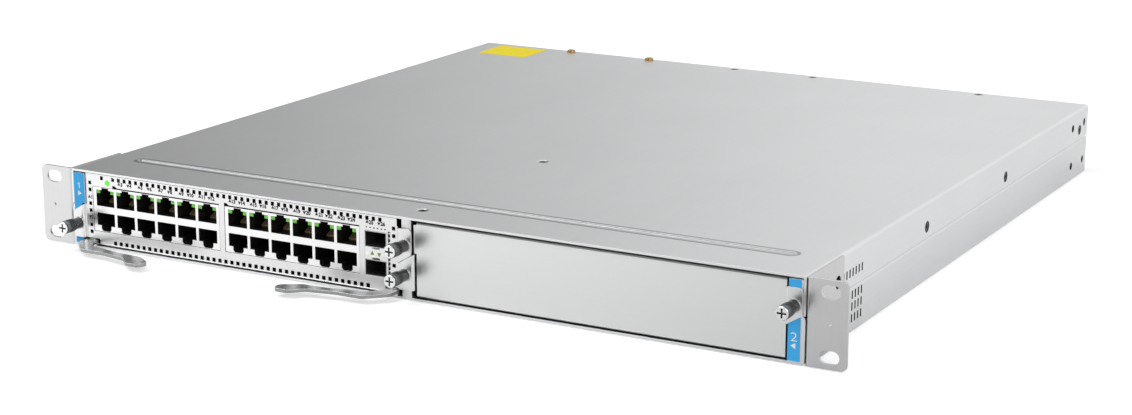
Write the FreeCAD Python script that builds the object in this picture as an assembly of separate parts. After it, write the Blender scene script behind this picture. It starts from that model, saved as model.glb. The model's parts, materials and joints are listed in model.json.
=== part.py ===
import FreeCAD, Part
import math
import os

# Modular chassis switch, one rack unit high, in millimetres.
# x runs to the right as seen from the front, y runs back into the chassis, z is up.
# The origin is on the front plane of the rack ears, mid-width, at the underside.

Vector = FreeCAD.Vector

# Chassis
body_w = 440.0
body_d = 450.0
body_h = 43.6
sheet = 1.2
bend = 0.6
seam_z = 24.0
lap_gap = 0.1
touch_gap = 0.1
slide_gap = 0.3
past = 1.0

# Rack ears
ear_overhang = 21.3
ear_sheet = 1.5
ear_leg = 43.0
ear_corner = 3.0
rack_pitch = 31.75
rack_hole_w = 10.0
rack_hole_h = 6.5
rack_hole_out = 12.5
ear_pin_r = 0.8
lock_hole_r = 5.0
lock_hole_y = 36.4

# Front frame and centre post
frame_in = 8.8
frame_notch_in = 6.6
post_left = -4.3
post_right = 2.0
post_tab = 12.0
label_thick = 0.15
label_edge = 0.1
label_inset = 0.9

# Fasteners, all M3
screw_r = 1.5
thread_gap = 0.05
through_r = 1.7
sink_r = 3.2
screw_len = 6.0
pan_r = 3.0
pan_h = 1.5
pan_taper = 0.4
head_drop = 0.35
recess_w = 0.7
recess_span = 2.6
recess_depth = 1.0
row_in = 3.5
side_screw_z = 30.4
side_screw_bay = 16.7
side_screw_back = (160.3, 16.5)
post_screw_first = 17.0
post_screw_bay = 34.7
kit_hole_r = 2.3
kit_hole_back = (30.8, 7.0)
kit_hole_z = (9.9, 33.8)
ear_screw_at = ((12.0, 10.5), (12.0, 33.0), (32.0, 10.5))

# Stiffening bead pressed into the lid
bead_y = 34.0
bead_w = 4.5
bead_in = 18.5
bead_depth = 0.7

# Ventilation
vent_pitch = 3.97
grille_cols = 7
grille_y = 46.4
grille_w = 1.5
grille_h = 4.2
grille_z = (7.7, 13.8, 19.7, 31.3)

# Line card and blank panel
card_sheet = 1.0
bay_d = 178.0
face_y = 0.8
ear_face_y = -1.2
edge_gap = 0.4
ear_joggle = 0.6
post_gap = 1.5
ear_tip_in = 1.2
ear_low = 5.3
ear_drop = 4.1
ear_h = 19.0
ear_slope = 0.6
ear_root = 5.0
corner_cut = 1.0
corner_r = 2.0
card_wall_h = 11.0
card_wall_y = 14.0
blank_left_gap = 3.0
blank_lip = 1.6
blank_right_gap = 1.3
blank_d = 14.0
blank_drop = 0.4
blank_leg = 8.0
blank_groove = 0.8

# Captive screws
screw_in_left = 5.0
screw_in_right = 5.5
screw_low_z = 13.4
screw_high_z = 28.9
knob_r = 3.5
knob_len = 13.4
knob_drum = 8.5
knob_edge = 0.4
ferrule_r = 3.6
ferrule_h = 0.8
ferrule_stub = 2.5
captive_len = 7.0
cross_w = 0.9
cross_span = 4.8
cross_depth = 1.2

# Circuit board of the line card
board_thick = 1.6
board_under = 1.9
board_gap = 0.7
board_short = 20.0
pillar_r = 2.6
pillar_in = 8.0
pillar_front = 62.0
pillar_back = 10.0
card_sink_w = 40.0
card_sink_h = 14.0
card_sink_x = 42.0
card_sink_y = 96.0
card_sink_fins = 8

# Copper port blocks, two rows of ports
jack_pitch = 13.97
jack_w = 12.3
jack_h = 7.2
jack_step_w = 6.9
jack_step_h = 2.0
jack_tip_w = 4.8
jack_tip_h = 1.2
jack_rib = 3.8
jack_rise = 0.45
jack_rim = 0.45
jack_side_left = 2.4
jack_side_right = 1.95
jack_in = 4.7
block_gap = 3.4
jack_front_y = 1.0
jack_d = 25.0
jack_depth = 17.0
jack_nose = 3.0
jack_raise = 0.5
jack_peak = 1.6
jack_notch_w = 1.6
jack_notch_first = 14.0
jack_gap = 0.25
shield = 0.4
pipe_w = 2.5
pipe_proud = 0.1
comb_w = 8.8
comb_h = 4.6
comb_d = 10.0

# Pluggable transceiver cages
cage_in = 7.4
cage_w = 13.4
cage_h = 8.8
cage_bar_h = 6.4
cage_sheet = 0.3
cage_fit = 0.1
cage_d = 48.0
cage_leg = 6.0
bar_d = 8.0
bar_notch_w = 5.0
bar_notch_h = 1.0
bar_notch_d = 3.0
gasket_in = 6.5
gasket_w = 1.4
gasket_h = 24.9
gasket_step = 2.8
gasket_lap = 0.6
gasket_rise = 0.6
gasket_sheet = 0.3
gasket_foot = 3.0
dot_pitch = 2.3
dot_in = 1.2
dot_w = 1.0
dot_h = 0.6
dot_above = 0.2

# Small openings of the faceplate
vent_w = 2.0
vent_h = 2.2
vent_drop = 1.9
vent_in = 19.2
vent_lone = 7.9
vent_top_end = 11.1
slot_w = 2.2
slot_rise = 1.4
slot_h = 2.2
slot_end = 19.0
side_vent_in = 2.9
side_vent_left = (14.5, 10.5, 2.7, -1.3, -9.4, -13.4)
side_vent_right = (14.2, 10.2, -5.5)
led_in = 15.1
led_drop = 4.3
led_r = 1.4
led_back = 4.0
led_bend = 4.0

# Ejector levers
lever_gap = 0.1
lever_thick = 1.9
lever_root_r = 4.0
lever_root = 4.0
lever_in = 3.5
lever_pivot_y = 1.3
lever_front = 18.4
lever_rear = 14.4
lever_spoon = 28.5
lever_reach = 57.0
lever_pin_r = 1.2
lever_head = 0.9
lever_head_h = 0.4
lever_fit = 0.05
lever_slot_half = 5.0
lever_slot_h = 2.7
lever_tab = 3.4
lever_tab_out = 2.6

# Backplane and its connectors
plane_thick = 2.4
plane_h = 36.0
plane_in = 2.0
plane_foot = 12.0
plane_drop = 3.0
plug_w = 120.0
plug_h = 12.0
plug_d = 25.0
plug_wall = 3.0
plug_fit = 0.5
plug_tongue = 6.0
socket_d = 9.0
socket_floor = 1.5
window_w = 34.0
window_h = 12.0
window_pitch = 78.0
window_rise = 10.0

# Main board
main_gap = 18.0
main_tail = 12.0
main_z = 6.0
main_in = 3.0
main_bay_gap = 8.0
psu_front_gap = 6.0
standoff_r = 3.0
standoff_in = 14.5
standoff_side = 130.0
standoff_edge = 10.0
chip_w = 34.0
chip_h = 2.4
chip_first = (78.5, 36.0)
chip_last = (178.5, 76.0)
sink_w = 48.0
sink_h = 22.0
sink_base = 4.0
sink_fins = 9
fin_w = 1.6

# Rear panel and power supplies
rear_lip = 14.0
rear_slots = 7
rear_slot_in = 8.0
rear_slot_pitch = 4.4
rear_slot_w = 2.2
rear_slot_h = 26.0
psu_in = 41.2
psu_w = 59.0
psu_gap = 2.3
psu_low = 2.1
psu_drop = 2.2
psu_d = 168.0
psu_sheet = 1.0
psu_proud = 0.2
psu_slots = 11
psu_slot_pitch = 4.2
psu_slot_h = 8.0
psu_slot_x = 19.0
psu_slot_drop = 6.5
bay_wall_gap = 0.9
bay_wall_back = 2.0
bay_foot = 6.0
inlet_x = 8.0
inlet_rise = 3.0
inlet_w = 27.0
inlet_h = 20.0
inlet_rim = 1.2
inlet_flange = 2.2
inlet_cavity_w = 22.0
inlet_cavity_h = 15.0
inlet_corner = 4.0
inlet_depth = 16.0
inlet_wall = 1.5
pin_w = 2.0
pin_h = 4.0
pin_in = 3.0
pin_pitch = 7.0
pin_drop = 1.5
pin_lift = 2.0
handle_r = 2.0
handle_out = 11.0
handle_bend = 4.0
handle_in = 2.3
handle_low = 4.0
handle_top = 3.0
latch_in = 4.9
latch_w = 2.2
latch_stem = 1.2
latch_h = 14.0
latch_rise = 6.0
latch_out = 8.0
latch_tail = 6.0
latch_inset = 4.0
latch_play = 2.4

# Fan tray
fan_bay_left = 10.5
fan_bay_right = 10.0
fan_bay_drop = 1.4
fan_top_gap = 0.7
fan_first = 49.0
fan_last = 29.0
fan_d = 28.0
fan_rim = 1.4
fan_back = 0.6
fan_hub_r = 8.0
fan_axle_r = 1.5
fan_seat = 3.0
fan_strut = 2.4
fan_blades = 7
fan_blade = 1.0
fan_chord = 16.0
fan_pitch_deg = 38.0
fan_tip_gap = 0.7
fan_end_gap = 4.0
fan_screw_side = (-24.4, 32.7)
fan_screw_last = 32.0
tray_margin = 7.5
tray_sheet = 1.0
tray_d = 42.0
tray_rise = 1.5
tray_slots = 9
tray_slot_pitch = 3.8
tray_slot_w = 2.4
tray_screw_in = 3.8
tray_screw_rise = 11.0
tray_screw_len = 4.0
tray_handle = (10.0, 23.0)

# Sticker on the lid
sticker_w = 41.0
sticker_d = 28.0
sticker_side = 15.0
sticker_back = 7.0

# Worked out: chassis
half_w = body_w / 2
mid_z = body_h / 2
lid_under = body_h - sheet
wall_top = lid_under - bend - touch_gap
lap = sheet + lap_gap
wall_in = half_w - lap - sheet
thread_r = screw_r + thread_gap
row_y = body_d - row_in
frame_edge = half_w - frame_in
frame_notch_x = half_w - frame_notch_in
rack_hole_x = half_w + rack_hole_out
post_x = (post_left + post_right) / 2
side_screw_y = [bay_d - side_screw_bay] + [body_d - back for back in side_screw_back]
post_screw_y = (post_screw_first, bay_d - post_screw_bay)
flat_head_r = screw_r + (sink_r - thread_gap - screw_r) * (1 - head_drop / sheet)
kit_hole_y = [body_d - back for back in kit_hole_back]

# Worked out: the two slots
front_low = sheet + slide_gap
front_top = lid_under - edge_gap
floor_top = front_low + card_sheet
card_left = slide_gap - frame_edge
card_right = post_left - post_gap
card_mid = (card_left + card_right) / 2
card_d = bay_d - plane_foot
blank_left = post_right + blank_left_gap
blank_right = frame_edge - blank_right_gap
blank_mid = (blank_left + blank_right) / 2
high_ear_top = front_top - ear_drop
high_ear_low = high_ear_top - ear_h
left_screw = (screw_in_left - half_w, screw_low_z)
mid_screw_high = (post_x, screw_high_z)
mid_screw_low = (post_x, screw_low_z)
right_screw = (half_w - screw_in_right, screw_high_z)

# Worked out: ports
jack_mid_z = mid_z + jack_rise
jack_half_h = jack_rib / 2 + jack_h + jack_step_h + jack_tip_h + jack_rim
jack_low = jack_mid_z - jack_half_h
jack_high = jack_mid_z + jack_half_h
jack_sides = jack_side_left + jack_side_right - (jack_pitch - jack_w)
jack_room = card_right - card_left - jack_in - cage_in - cage_w
jack_cols = int((jack_room - block_gap * 2 - jack_sides * 2) / (jack_pitch * 2) + 0.05)
jack_block_w = jack_cols * jack_pitch + jack_sides
jack_left = (card_left + jack_in, card_left + jack_in + jack_block_w + block_gap)
card_board_z = jack_low - board_under - board_thick
card_board_top = card_board_z + board_thick
card_board_d = bay_d - board_short
cage_right = card_right - cage_in
cage_x = (cage_right - cage_w, cage_right)
cage_rows = (jack_low, jack_low + cage_h + cage_bar_h)
gasket_left = card_right - gasket_in
lever_z = floor_top + lever_gap
lever_pivot_x = (card_left + lever_in, card_right - lever_in)

# Worked out: the rear
psu_first = psu_in + psu_w / 2 - half_w
psu_x = (psu_first, psu_first + psu_w + psu_gap)
psu_z = (sheet + psu_low, lid_under - psu_drop)
latch_x = psu_w / 2 - latch_in
psu_back = body_d + psu_proud
psu_front = psu_back - psu_d
fan_bay = (psu_x[1] + psu_w / 2 + fan_bay_left, half_w - fan_bay_right)
fan_bay_top = lid_under - fan_bay_drop
fan_low = sheet + touch_gap + tray_sheet
fan_w = fan_bay_top - fan_top_gap - fan_low
fan_mid_z = fan_low + fan_w / 2
fan_bore_r = fan_w / 2 - fan_rim
fan_ends = (fan_bay[0] + fan_first, fan_bay[1] - fan_last)
fan_x = (fan_ends[0], sum(fan_ends) / 2, fan_ends[1])
rear_screw_x = [fan_x[0] + side for side in fan_screw_side] + [fan_x[-1] - fan_screw_last]
tray_back = body_d + touch_gap + tray_sheet
main_front = bay_d + main_gap
main_back = body_d - tray_d - main_tail
bay_edge = psu_x[1] + psu_w / 2 + main_bay_gap
board_cut_y = psu_front - psu_front_gap
NORMAL = {"xy": Vector(0, 0, 1), "xz": Vector(0, 1, 0), "yz": Vector(1, 0, 0)}


def at(plane, a, b, level):
    """Point with the two coordinates of a plane and its level along the normal."""
    return {"xy": Vector(a, b, level), "xz": Vector(a, level, b), "yz": Vector(level, a, b)}[plane]


def box(x, y, z):
    """Block between the low and high value of each axis."""
    return Part.makeBox(x[1] - x[0], y[1] - y[0], z[1] - z[0], Vector(x[0], y[0], z[0]))


def rod(plane, a, b, radius, low, high):
    """Round bar along the normal of a plane."""
    return Part.makeCylinder(radius, high - low, at(plane, a, b, low), NORMAL[plane])


def cone(plane, a, b, radius_low, radius_high, low, high):
    """Tapered round bar along the normal of a plane."""
    return Part.makeCone(radius_low, radius_high, high - low, at(plane, a, b, low), NORMAL[plane])


def prism(plane, points, low, high):
    """Solid between two levels over a closed outline; a third number rounds that corner."""
    flat = [Vector(p[0], p[1], 0) for p in points]
    stops = []
    for i, point in enumerate(points):
        here = flat[i]
        if len(point) == 2:
            stops.append((here, None, here))
            continue
        back = (flat[i - 1] - here).normalize()
        ahead = (flat[(i + 1) % len(flat)] - here).normalize()
        half = back.getAngle(ahead) / 2
        run = point[2] / math.tan(half)
        middle = here + (back + ahead).normalize() * (point[2] / math.sin(half) - point[2])
        stops.append((here + back * run, middle, here + ahead * run))
    edges = []
    for i, (start, middle, end) in enumerate(stops):
        following = stops[(i + 1) % len(stops)][0]
        if middle is not None:
            arc = [at(plane, p.x, p.y, low) for p in (start, middle, end)]
            edges.append(Part.Arc(*arc).toShape())
        if end.distanceToPoint(following) > 1e-6:
            line = [at(plane, p.x, p.y, low) for p in (end, following)]
            edges.append(Part.makeLine(*line))
    return Part.Face(Part.Wire(edges)).extrude(NORMAL[plane] * (high - low))


def fold(plane, path, thick, low, high):
    """Sheet bent along an open path, lying on the left of it, between two levels."""
    points = [Vector(a, b, 0) for a, b in path]
    steps = [(q - p).normalize() for p, q in zip(points, points[1:])]
    left = [Vector(-s.y, s.x, 0) for s in steps]
    near = [path[0]]
    start = points[0] + left[0] * thick
    far = [(start.x, start.y)]
    for i in range(1, len(points) - 1):
        miter = (left[i - 1] + left[i]) * (thick / (1 + left[i - 1].dot(left[i])))
        turns_left = steps[i - 1].cross(steps[i]).z > 0
        inner = points[i] + miter
        near.append((points[i].x, points[i].y, bend + thick if turns_left else bend))
        far.append((inner.x, inner.y, bend if turns_left else bend + thick))
    near.append(path[-1])
    end = points[-1] + left[-1] * thick
    far.append((end.x, end.y))
    return prism(plane, near + far[::-1], low, high)


def pane(plane, a, b, width, height, low, high):
    """Rectangular bar centred on a, b."""
    signs = ((-1, -1), (1, -1), (1, 1), (-1, 1))
    return prism(plane, [(a + i * width / 2, b + j * height / 2) for i, j in signs], low, high)


def slot(plane, a, b, length, width, low, high):
    """Round-ended bar centred on a, b, lying along the first direction of the plane."""
    signs = ((-1, -1), (1, -1), (1, 1), (-1, 1))
    corners = [(a + i * length / 2, b + j * width / 2, width / 2) for i, j in signs]
    return prism(plane, corners, low, high)


def join(first, *others):
    """One solid out of touching ones."""
    return first.fuse(list(others)).removeSplitter()


def mirrored(shape):
    """The same shape on the other side of the mid plane."""
    return shape.mirror(Vector(0, 0, 0), Vector(1, 0, 0))


def bent_rod(points, radius, corner):
    """Round wire swept along a path whose corners are rounded."""
    spots = [Vector(*p) for p in points]
    edges = []
    start = spots[0]
    for i in range(1, len(spots) - 1):
        back = (spots[i - 1] - spots[i]).normalize()
        ahead = (spots[i + 1] - spots[i]).normalize()
        half = back.getAngle(ahead) / 2
        run = corner / math.tan(half)
        first = spots[i] + back * run
        last = spots[i] + ahead * run
        middle = spots[i] + (back + ahead).normalize() * (corner / math.sin(half) - corner)
        edges.append(Part.makeLine(start, first))
        edges.append(Part.Arc(first, middle, last).toShape())
        start = last
    edges.append(Part.makeLine(start, spots[-1]))
    ring = Part.Wire(Part.makeCircle(radius, spots[0], spots[1] - spots[0]))
    return Part.Wire(edges).makePipeShell([ring], True, True)


def around(middle, width):
    """Low and high value of a span centred on a place."""
    return (middle - width / 2, middle + width / 2)


def save(name, shape):
    """Write one piece."""
    shape.exportStep(os.path.join("parts", name + ".step"))


def wall_cutters(side):
    """Holes through one side: grille, lid screws, rear kit holes, ear screws and lock hole."""
    low, high = sorted((side * (half_w + past), side * (wall_in - past)))
    cutters = []
    for z in grille_z:
        for i in range(grille_cols):
            cutters.append(pane("yz", grille_y + i * vent_pitch, z, grille_w, grille_h, low, high))
    for y in kit_hole_y:
        cutters += [rod("yz", y, z, kit_hole_r, low, high) for z in kit_hole_z]
    cutters += [rod("yz", y, side_screw_z, thread_r, low, high) for y in side_screw_y]
    cutters += [rod("yz", y, z, thread_r, low, high) for y, z in ear_screw_at]
    cutters.append(rod("yz", lock_hole_y, side_screw_z, lock_hole_r, low, high))
    return cutters


def base_tray():
    """Floor and side walls from one sheet, stepped in at the seam, with front frame flanges."""
    step_low = seam_z - lap
    inner = half_w - lap
    path = [(-inner, wall_top), (-inner, seam_z), (-half_w, step_low), (-half_w, 0)]
    path = path + [(-x, z) for x, z in path[::-1]]
    shell = fold("xz", path, sheet, 0, body_d)
    tuck = sheet / 2
    outer = [(tuck - half_w, tuck), (tuck - half_w, step_low), (tuck - inner, seam_z + tuck)]
    outer = outer + [(tuck - inner, wall_top), (-frame_edge, wall_top)]
    notch_z = frame_notch_top()
    notch = [(-frame_edge, notch_z), (-frame_notch_x, notch_z), (-frame_notch_x, tuck)]
    left_flange = prism("xz", outer + notch, 0, sheet)
    right_flange = mirrored(prism("xz", outer + [(-frame_edge, tuck)], 0, sheet))
    tray = join(shell, left_flange, right_flange)
    cutters = wall_cutters(-1) + wall_cutters(1)
    cutters += [rod("xz", x, z, thread_r, -past, sheet + past) for x, z in (left_screw, right_screw)]
    return tray.cut(cutters)


def frame_notch_top():
    """Height up to which the left frame flange steps back behind the ear of the card."""
    return high_ear_low + ear_slope * (ear_reach() + post_gap) + slide_gap


def ear_reach():
    """Reach of a fixing ear over its frame flange."""
    return frame_in - ear_tip_in


def top_cover():
    """Lid with side flanges lapping over the tray, a pressed bead and countersunk holes."""
    flange_z = seam_z + lap_gap
    path = [(half_w, flange_z), (half_w, body_h), (-half_w, body_h), (-half_w, flange_z)]
    lid = fold("xz", path, sheet, 0, body_d)
    bead = 2 * (half_w - bead_in)
    wider = 2 * bead_depth
    rib = slot("xy", 0, bead_y, bead + wider, bead_w + wider, lid_under - bead_depth, lid_under + bend)
    lid = join(lid, rib)
    cutters = [slot("xy", 0, bead_y, bead, bead_w, body_h - bead_depth, body_h + past)]
    cutters += [cone("xy", x, y, thread_r, sink_r, lid_under, body_h) for x, y in lid_screw_places()]
    cutters += [rod("xy", x, row_y, thread_r, lid_under - past, body_h + past) for x in psu_x]
    cutters += wall_cutters(-1) + wall_cutters(1)
    for y in side_screw_y:
        sink = cone("yz", y, side_screw_z, thread_r, sink_r, half_w - sheet, half_w)
        cutters += [sink, mirrored(sink)]
    return lid.cut(cutters)


def lid_screw_places():
    """Countersunk screws of the lid: two into the centre post, the rest into the rear panel."""
    return [(post_x, y) for y in post_screw_y] + [(x, row_y) for x in rear_screw_x]


def flat_screw(plane, a, b, level):
    """Countersunk screw that points down its plane, its recessed head a little under a level."""
    top = level - head_drop
    head = cone(plane, a, b, screw_r, flat_head_r, level - sheet, top)
    screw = join(head, rod(plane, a, b, screw_r, level - screw_len, level - sheet))
    return screw.cut(cross_arms(plane, a, b, recess_w, recess_span, top - recess_depth, top + past))


def cross_arms(plane, a, b, width, span, low, high):
    """Two crossed bars that cut a driver recess."""
    return [pane(plane, a, b, width, span, low, high), pane(plane, a, b, span, width, low, high)]


def cover_screws():
    """All countersunk screws that hold the lid."""
    solids = [flat_screw("xy", x, y, body_h) for x, y in lid_screw_places()]
    for y in side_screw_y:
        screw = flat_screw("yz", y, side_screw_z, half_w)
        solids += [screw, mirrored(screw)]
    return Part.makeCompound(solids)


def pan_head(plane, a, b, level):
    """Slightly tapered round head that stands on a level."""
    return cone(plane, a, b, pan_r, pan_r - pan_taper, level, level + pan_h)


def pan_screw(plane, a, b, seat, tip):
    """Pan head screw with a cross recess: its head stands on a seat and its shank ends at a tip."""
    screw = join(pan_head(plane, a, b, seat), rod(plane, a, b, screw_r, tip, seat))
    top = seat + pan_h
    return screw.cut(cross_arms(plane, a, b, recess_w, recess_span, top - recess_depth, top + past))


def lock_screws():
    """Two raised screws over the power supply bays."""
    tip = lid_under - sheet - touch_gap
    return Part.makeCompound([pan_screw("xy", x, row_y, body_h, tip) for x in psu_x])


def rack_ear():
    """Right rack ear: an angle with its leg on the chassis side and its plate at the front."""
    tip = half_w + ear_overhang
    angle = fold("xy", [(half_w, ear_leg), (half_w, 0), (tip, 0)], ear_sheet, 0, body_h)
    inner = half_w - past
    outline = [(inner, 0), (tip, 0, ear_corner), (tip, body_h, ear_corner), (inner, body_h)]
    angle = angle.common(prism("xz", outline, -past, ear_leg + past))
    depth = (-past, ear_sheet + past)
    cutters = [rod("xz", rack_hole_x, mid_z, ear_pin_r, *depth)]
    for z in (mid_z - rack_pitch / 2, mid_z + rack_pitch / 2):
        cutters.append(slot("xz", rack_hole_x, z, rack_hole_w, rack_hole_h, *depth))
    across = (half_w - past, half_w + ear_sheet + past)
    cutters += [rod("yz", y, z, through_r, *across) for y, z in ear_screw_at]
    cutters.append(rod("yz", lock_hole_y, side_screw_z, lock_hole_r, *across))
    return angle.cut(cutters)


def ear_screws():
    """Pan head screws that hold both ears to the chassis sides."""
    seat = half_w + ear_sheet
    solids = []
    for y, z in ear_screw_at:
        screw = pan_screw("yz", y, z, seat, seat - screw_len)
        solids += [screw, mirrored(screw)]
    return Part.makeCompound(solids)


def centre_post():
    """Channel between the two slots, with tabs for the lid screws and threaded front holes."""
    back = bay_d - plane_foot - ear_tab_gap()
    path = [(post_left, back), (post_left, 0), (post_right, 0), (post_right, back)]
    channel = fold("xy", path, sheet, sheet, lid_under)
    inside = (post_left + sheet / 2, post_right - sheet / 2)
    tabs = []
    for y in post_screw_y:
        for z in (sheet, lid_under - sheet):
            tabs.append(box(inside, around(y, post_tab), (z, z + sheet)))
    channel = join(channel, *tabs)
    cutters = [rod("xz", x, z, thread_r, -past, sheet + past) for x, z in (mid_screw_high, mid_screw_low)]
    for y in post_screw_y:
        cutters.append(rod("xy", post_x, y, thread_r, lid_under - 2 * sheet, lid_under + past))
    bead_zone = around(bead_y, bead_w + 2 * bead_depth + 2 * touch_gap)
    bead_z = (lid_under - bead_depth - touch_gap, lid_under + past)
    cutters.append(box(around(post_x, 2 * (post_right - post_left)), bead_zone, bead_z))
    return channel.cut(cutters)


def ear_tab_gap():
    """Distance kept between the centre post and the foot of the backplane."""
    return plane_foot / 2


def slot_labels():
    """Thin printed labels on the left and right frame flanges."""
    low, high = front_low, wall_top - label_edge
    outer = half_w - lap - label_edge
    notch_z = frame_notch_top() + label_edge
    edge = frame_edge + label_edge
    notch_x = frame_notch_x + label_edge
    left = [(-outer, low), (-notch_x, low), (-notch_x, notch_z), (-edge, notch_z)]
    left = prism("xz", left + [(-edge, high), (-outer, high)], -label_thick, 0)
    right = box((edge, outer - label_inset), (-label_thick, 0), (low, high))
    left = left.cut(rod("xz", left_screw[0], left_screw[1], through_r, -past, past))
    right = right.cut(rod("xz", right_screw[0], right_screw[1], through_r, -past, past))
    return left, right


def low_ear(tip_x, wall_x, top):
    """Low fixing ear left of a front: flat ear, step back and a stub that joins the front."""
    path = [(tip_x, ear_face_y), (wall_x, ear_face_y), (wall_x, face_y), (wall_x + ear_root, face_y)]
    ear = fold("xy", path, card_sheet, ear_low, top)
    return ear.cut(slanted(tip_x, wall_x, top, wall_x, True))


def high_ear(wall_x, tip_x):
    """High fixing ear right of a front, with the slanted lower edge that meets its neighbour."""
    path = [(wall_x - ear_root, face_y), (wall_x, face_y), (wall_x, ear_face_y), (tip_x, ear_face_y)]
    ear = fold("xy", path, card_sheet, high_ear_low, high_ear_top)
    plate = (ear_face_y - past, face_y)
    corner = box((tip_x - corner_r, tip_x + past), plate, (high_ear_top - corner_r, high_ear_top + past))
    corner = corner.cut(rod("xz", tip_x - corner_r, high_ear_top - corner_r, corner_r, *plate))
    return ear.cut([slanted(wall_x, tip_x, high_ear_low, wall_x, False), corner])


def slanted(low_x, high_x, z, root_x, above):
    """Wedge that slants an ear's edge: the edge passes the height z at the root."""
    ends = [(x, z + ear_slope * (x - root_x)) for x in (low_x - past, high_x + past)]
    if above:
        ends[1] = (high_x, z)
    far = z + ear_h if above else z - ear_h
    outline = ends + [(ends[1][0], far), (ends[0][0], far)]
    if not above:
        outline[0] = (low_x, z)
        outline[3] = (low_x, far)
    return prism("xz", outline, ear_face_y - past, face_y)


def jack_outline(x, upward):
    """Outline of one modular jack mouth with its two-step latch notch."""
    sign = 1 if upward else -1
    base = jack_mid_z + sign * jack_rib / 2
    shoulder = base + sign * jack_h
    step = shoulder + sign * jack_step_h
    tip = step + sign * jack_tip_h
    right = [(jack_w / 2, base), (jack_w / 2, shoulder), (jack_step_w / 2, shoulder)]
    right += [(jack_step_w / 2, step), (jack_tip_w / 2, tip)]
    return [(x + a, z) for a, z in right] + [(x - a, z) for a, z in right[::-1]]


def light_window(x):
    """Opening of the shield over an upper port, full width up to the top of its light pipes."""
    base = jack_mid_z + jack_rib / 2
    shoulder = base + jack_h + jack_step_h
    right = [(jack_w / 2, base), (jack_w / 2, shoulder), (jack_tip_w / 2, shoulder)]
    right.append((jack_tip_w / 2, shoulder + jack_tip_h))
    return [(x + a, z) for a, z in right] + [(x - a, z) for a, z in right[::-1]]


def jack_columns(left):
    """Mid lines of the port columns of a block."""
    return [left + jack_side_left + jack_w / 2 + i * jack_pitch for i in range(jack_cols)]


def block_window(left, notch_x):
    """Faceplate opening of a port block, with the small pointed notch in its upper edge."""
    right = left + jack_block_w
    top = jack_high + jack_raise
    peak = top + jack_peak - jack_raise
    outline = [(left, jack_low), (right, jack_low), (right, top), (notch_x + 2 * jack_notch_w, top)]
    outline += [(notch_x + jack_notch_w, peak), (notch_x, peak)]
    if notch_x > left:
        outline += [(notch_x, jack_high), (left, jack_high)]
    return prism("xz", outline, 0, face_y + card_sheet + past)


def face_openings():
    """Every opening of the line card's faceplate, as cutters through it."""
    depth = (0, face_y + card_sheet + past)
    first = card_left + vent_in
    cutters = [block_window(jack_left[0], jack_left[0] + jack_notch_first)]
    cutters.append(block_window(jack_left[1], jack_left[1]))
    cutters.append(box(cage_x, depth, (cage_rows[0], cage_rows[1] + cage_h)))
    cutters.append(box((gasket_left, gasket_left + gasket_w), depth, (jack_low, jack_low + gasket_h)))
    dots = int((cage_w - dot_in) / dot_pitch) + 1
    for i in range(dots):
        x = cage_x[0] + dot_in + i * dot_pitch
        cutters.append(pane("xz", x, jack_high + dot_above, dot_w, dot_h, *depth))
    count = int((card_right - vent_top_end - first) / vent_pitch) + 1
    vents = [first - vent_lone] + [first + i * vent_pitch for i in range(count)]
    cutters += [pane("xz", x, front_top - vent_drop, vent_w, vent_h, *depth) for x in vents]
    count = int((card_right - slot_end - first) / vent_pitch) + 1
    slot_low = front_low + slot_rise
    for i in range(count):
        x = first + i * vent_pitch
        cutters.append(box(around(x, slot_w), depth, (slot_low, slot_low + slot_h)))
    for x, rows in ((card_left, side_vent_left), (card_right, side_vent_right)):
        middle = x + side_vent_in if x < card_mid else x - side_vent_in
        cutters += [pane("xz", middle, jack_mid_z + z, vent_w, vent_w, *depth) for z in rows]
    cutters.append(rod("xz", card_left + led_in, front_top - led_drop, led_r + touch_gap, *depth))
    return cutters


def lever_slot(x):
    """Slot of the faceplate for a lever, open to the side that the lever swings to."""
    reach = (x - lever_slot_half, x + lever_slot_half)
    depth = (ear_face_y - past, face_y + card_sheet + bend)
    return box(reach, depth, (floor_top, floor_top + lever_slot_h))


def card_tray():
    """Faceplate and carrier floor folded from one sheet, with ears, edge walls and pillars."""
    path = [(face_y, front_top), (face_y, front_low), (card_d, front_low)]
    panel = fold("yz", path, card_sheet, card_left, card_right)
    walls = []
    for x in (card_left, card_right - card_sheet):
        walls.append(box((x, x + card_sheet), (card_wall_y, card_d), (front_low, front_low + card_wall_h)))
    sunk = floor_top - card_sheet / 2
    pillars = [rod("xy", x, y, pillar_r, sunk, card_board_z) for x, y in pillar_places()]
    pivots = []
    for x in lever_pivot_x:
        out, side = -lever_tab_out, lever_tab
        tab = [(x - side, out, side - bend), (x + side, out, side - bend), (x + side, side), (x - side, side)]
        pivots.append(prism("xy", tab, front_low, floor_top))
    left = low_ear(ear_tip_in - half_w, card_left - ear_joggle, high_ear_low + ear_slope * (ear_reach() + post_gap))
    right = high_ear(card_right, post_right + blank_groove)
    tray = join(panel, left, right, *walls, *pillars, *pivots)
    cutters = face_openings()
    for x in lever_pivot_x:
        cutters.append(lever_slot(x))
        cutters.append(rod("xy", x, lever_pivot_y, lever_pin_r, 0, floor_top + past))
    cutters.append(box((card_right - corner_cut, card_right + past), (0, card_wall_y / 2), (high_ear_top, front_top + past)))
    for x, z in (left_screw, mid_screw_high):
        cutters.append(rod("xz", x, z, ferrule_stub, ear_face_y - past, face_y))
    return tray.cut(cutters)


def pillar_places():
    """Pressed pillars of the carrier that hold its circuit board."""
    columns = (card_left + pillar_in, card_mid, card_right - pillar_in)
    return [(x, y) for x in columns for y in (pillar_front, card_board_d - pillar_back)]


def card_board():
    """Circuit board of the line card, with screw holes over the pillars."""
    edge = card_sheet + board_gap
    front = face_y + card_sheet + past
    board = box((card_left + edge, card_right - edge), (front, card_board_d), (card_board_z, card_board_top))
    return board.cut([rod("xy", x, y, screw_r, 0, card_board_top + past) for x, y in pillar_places()])


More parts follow.
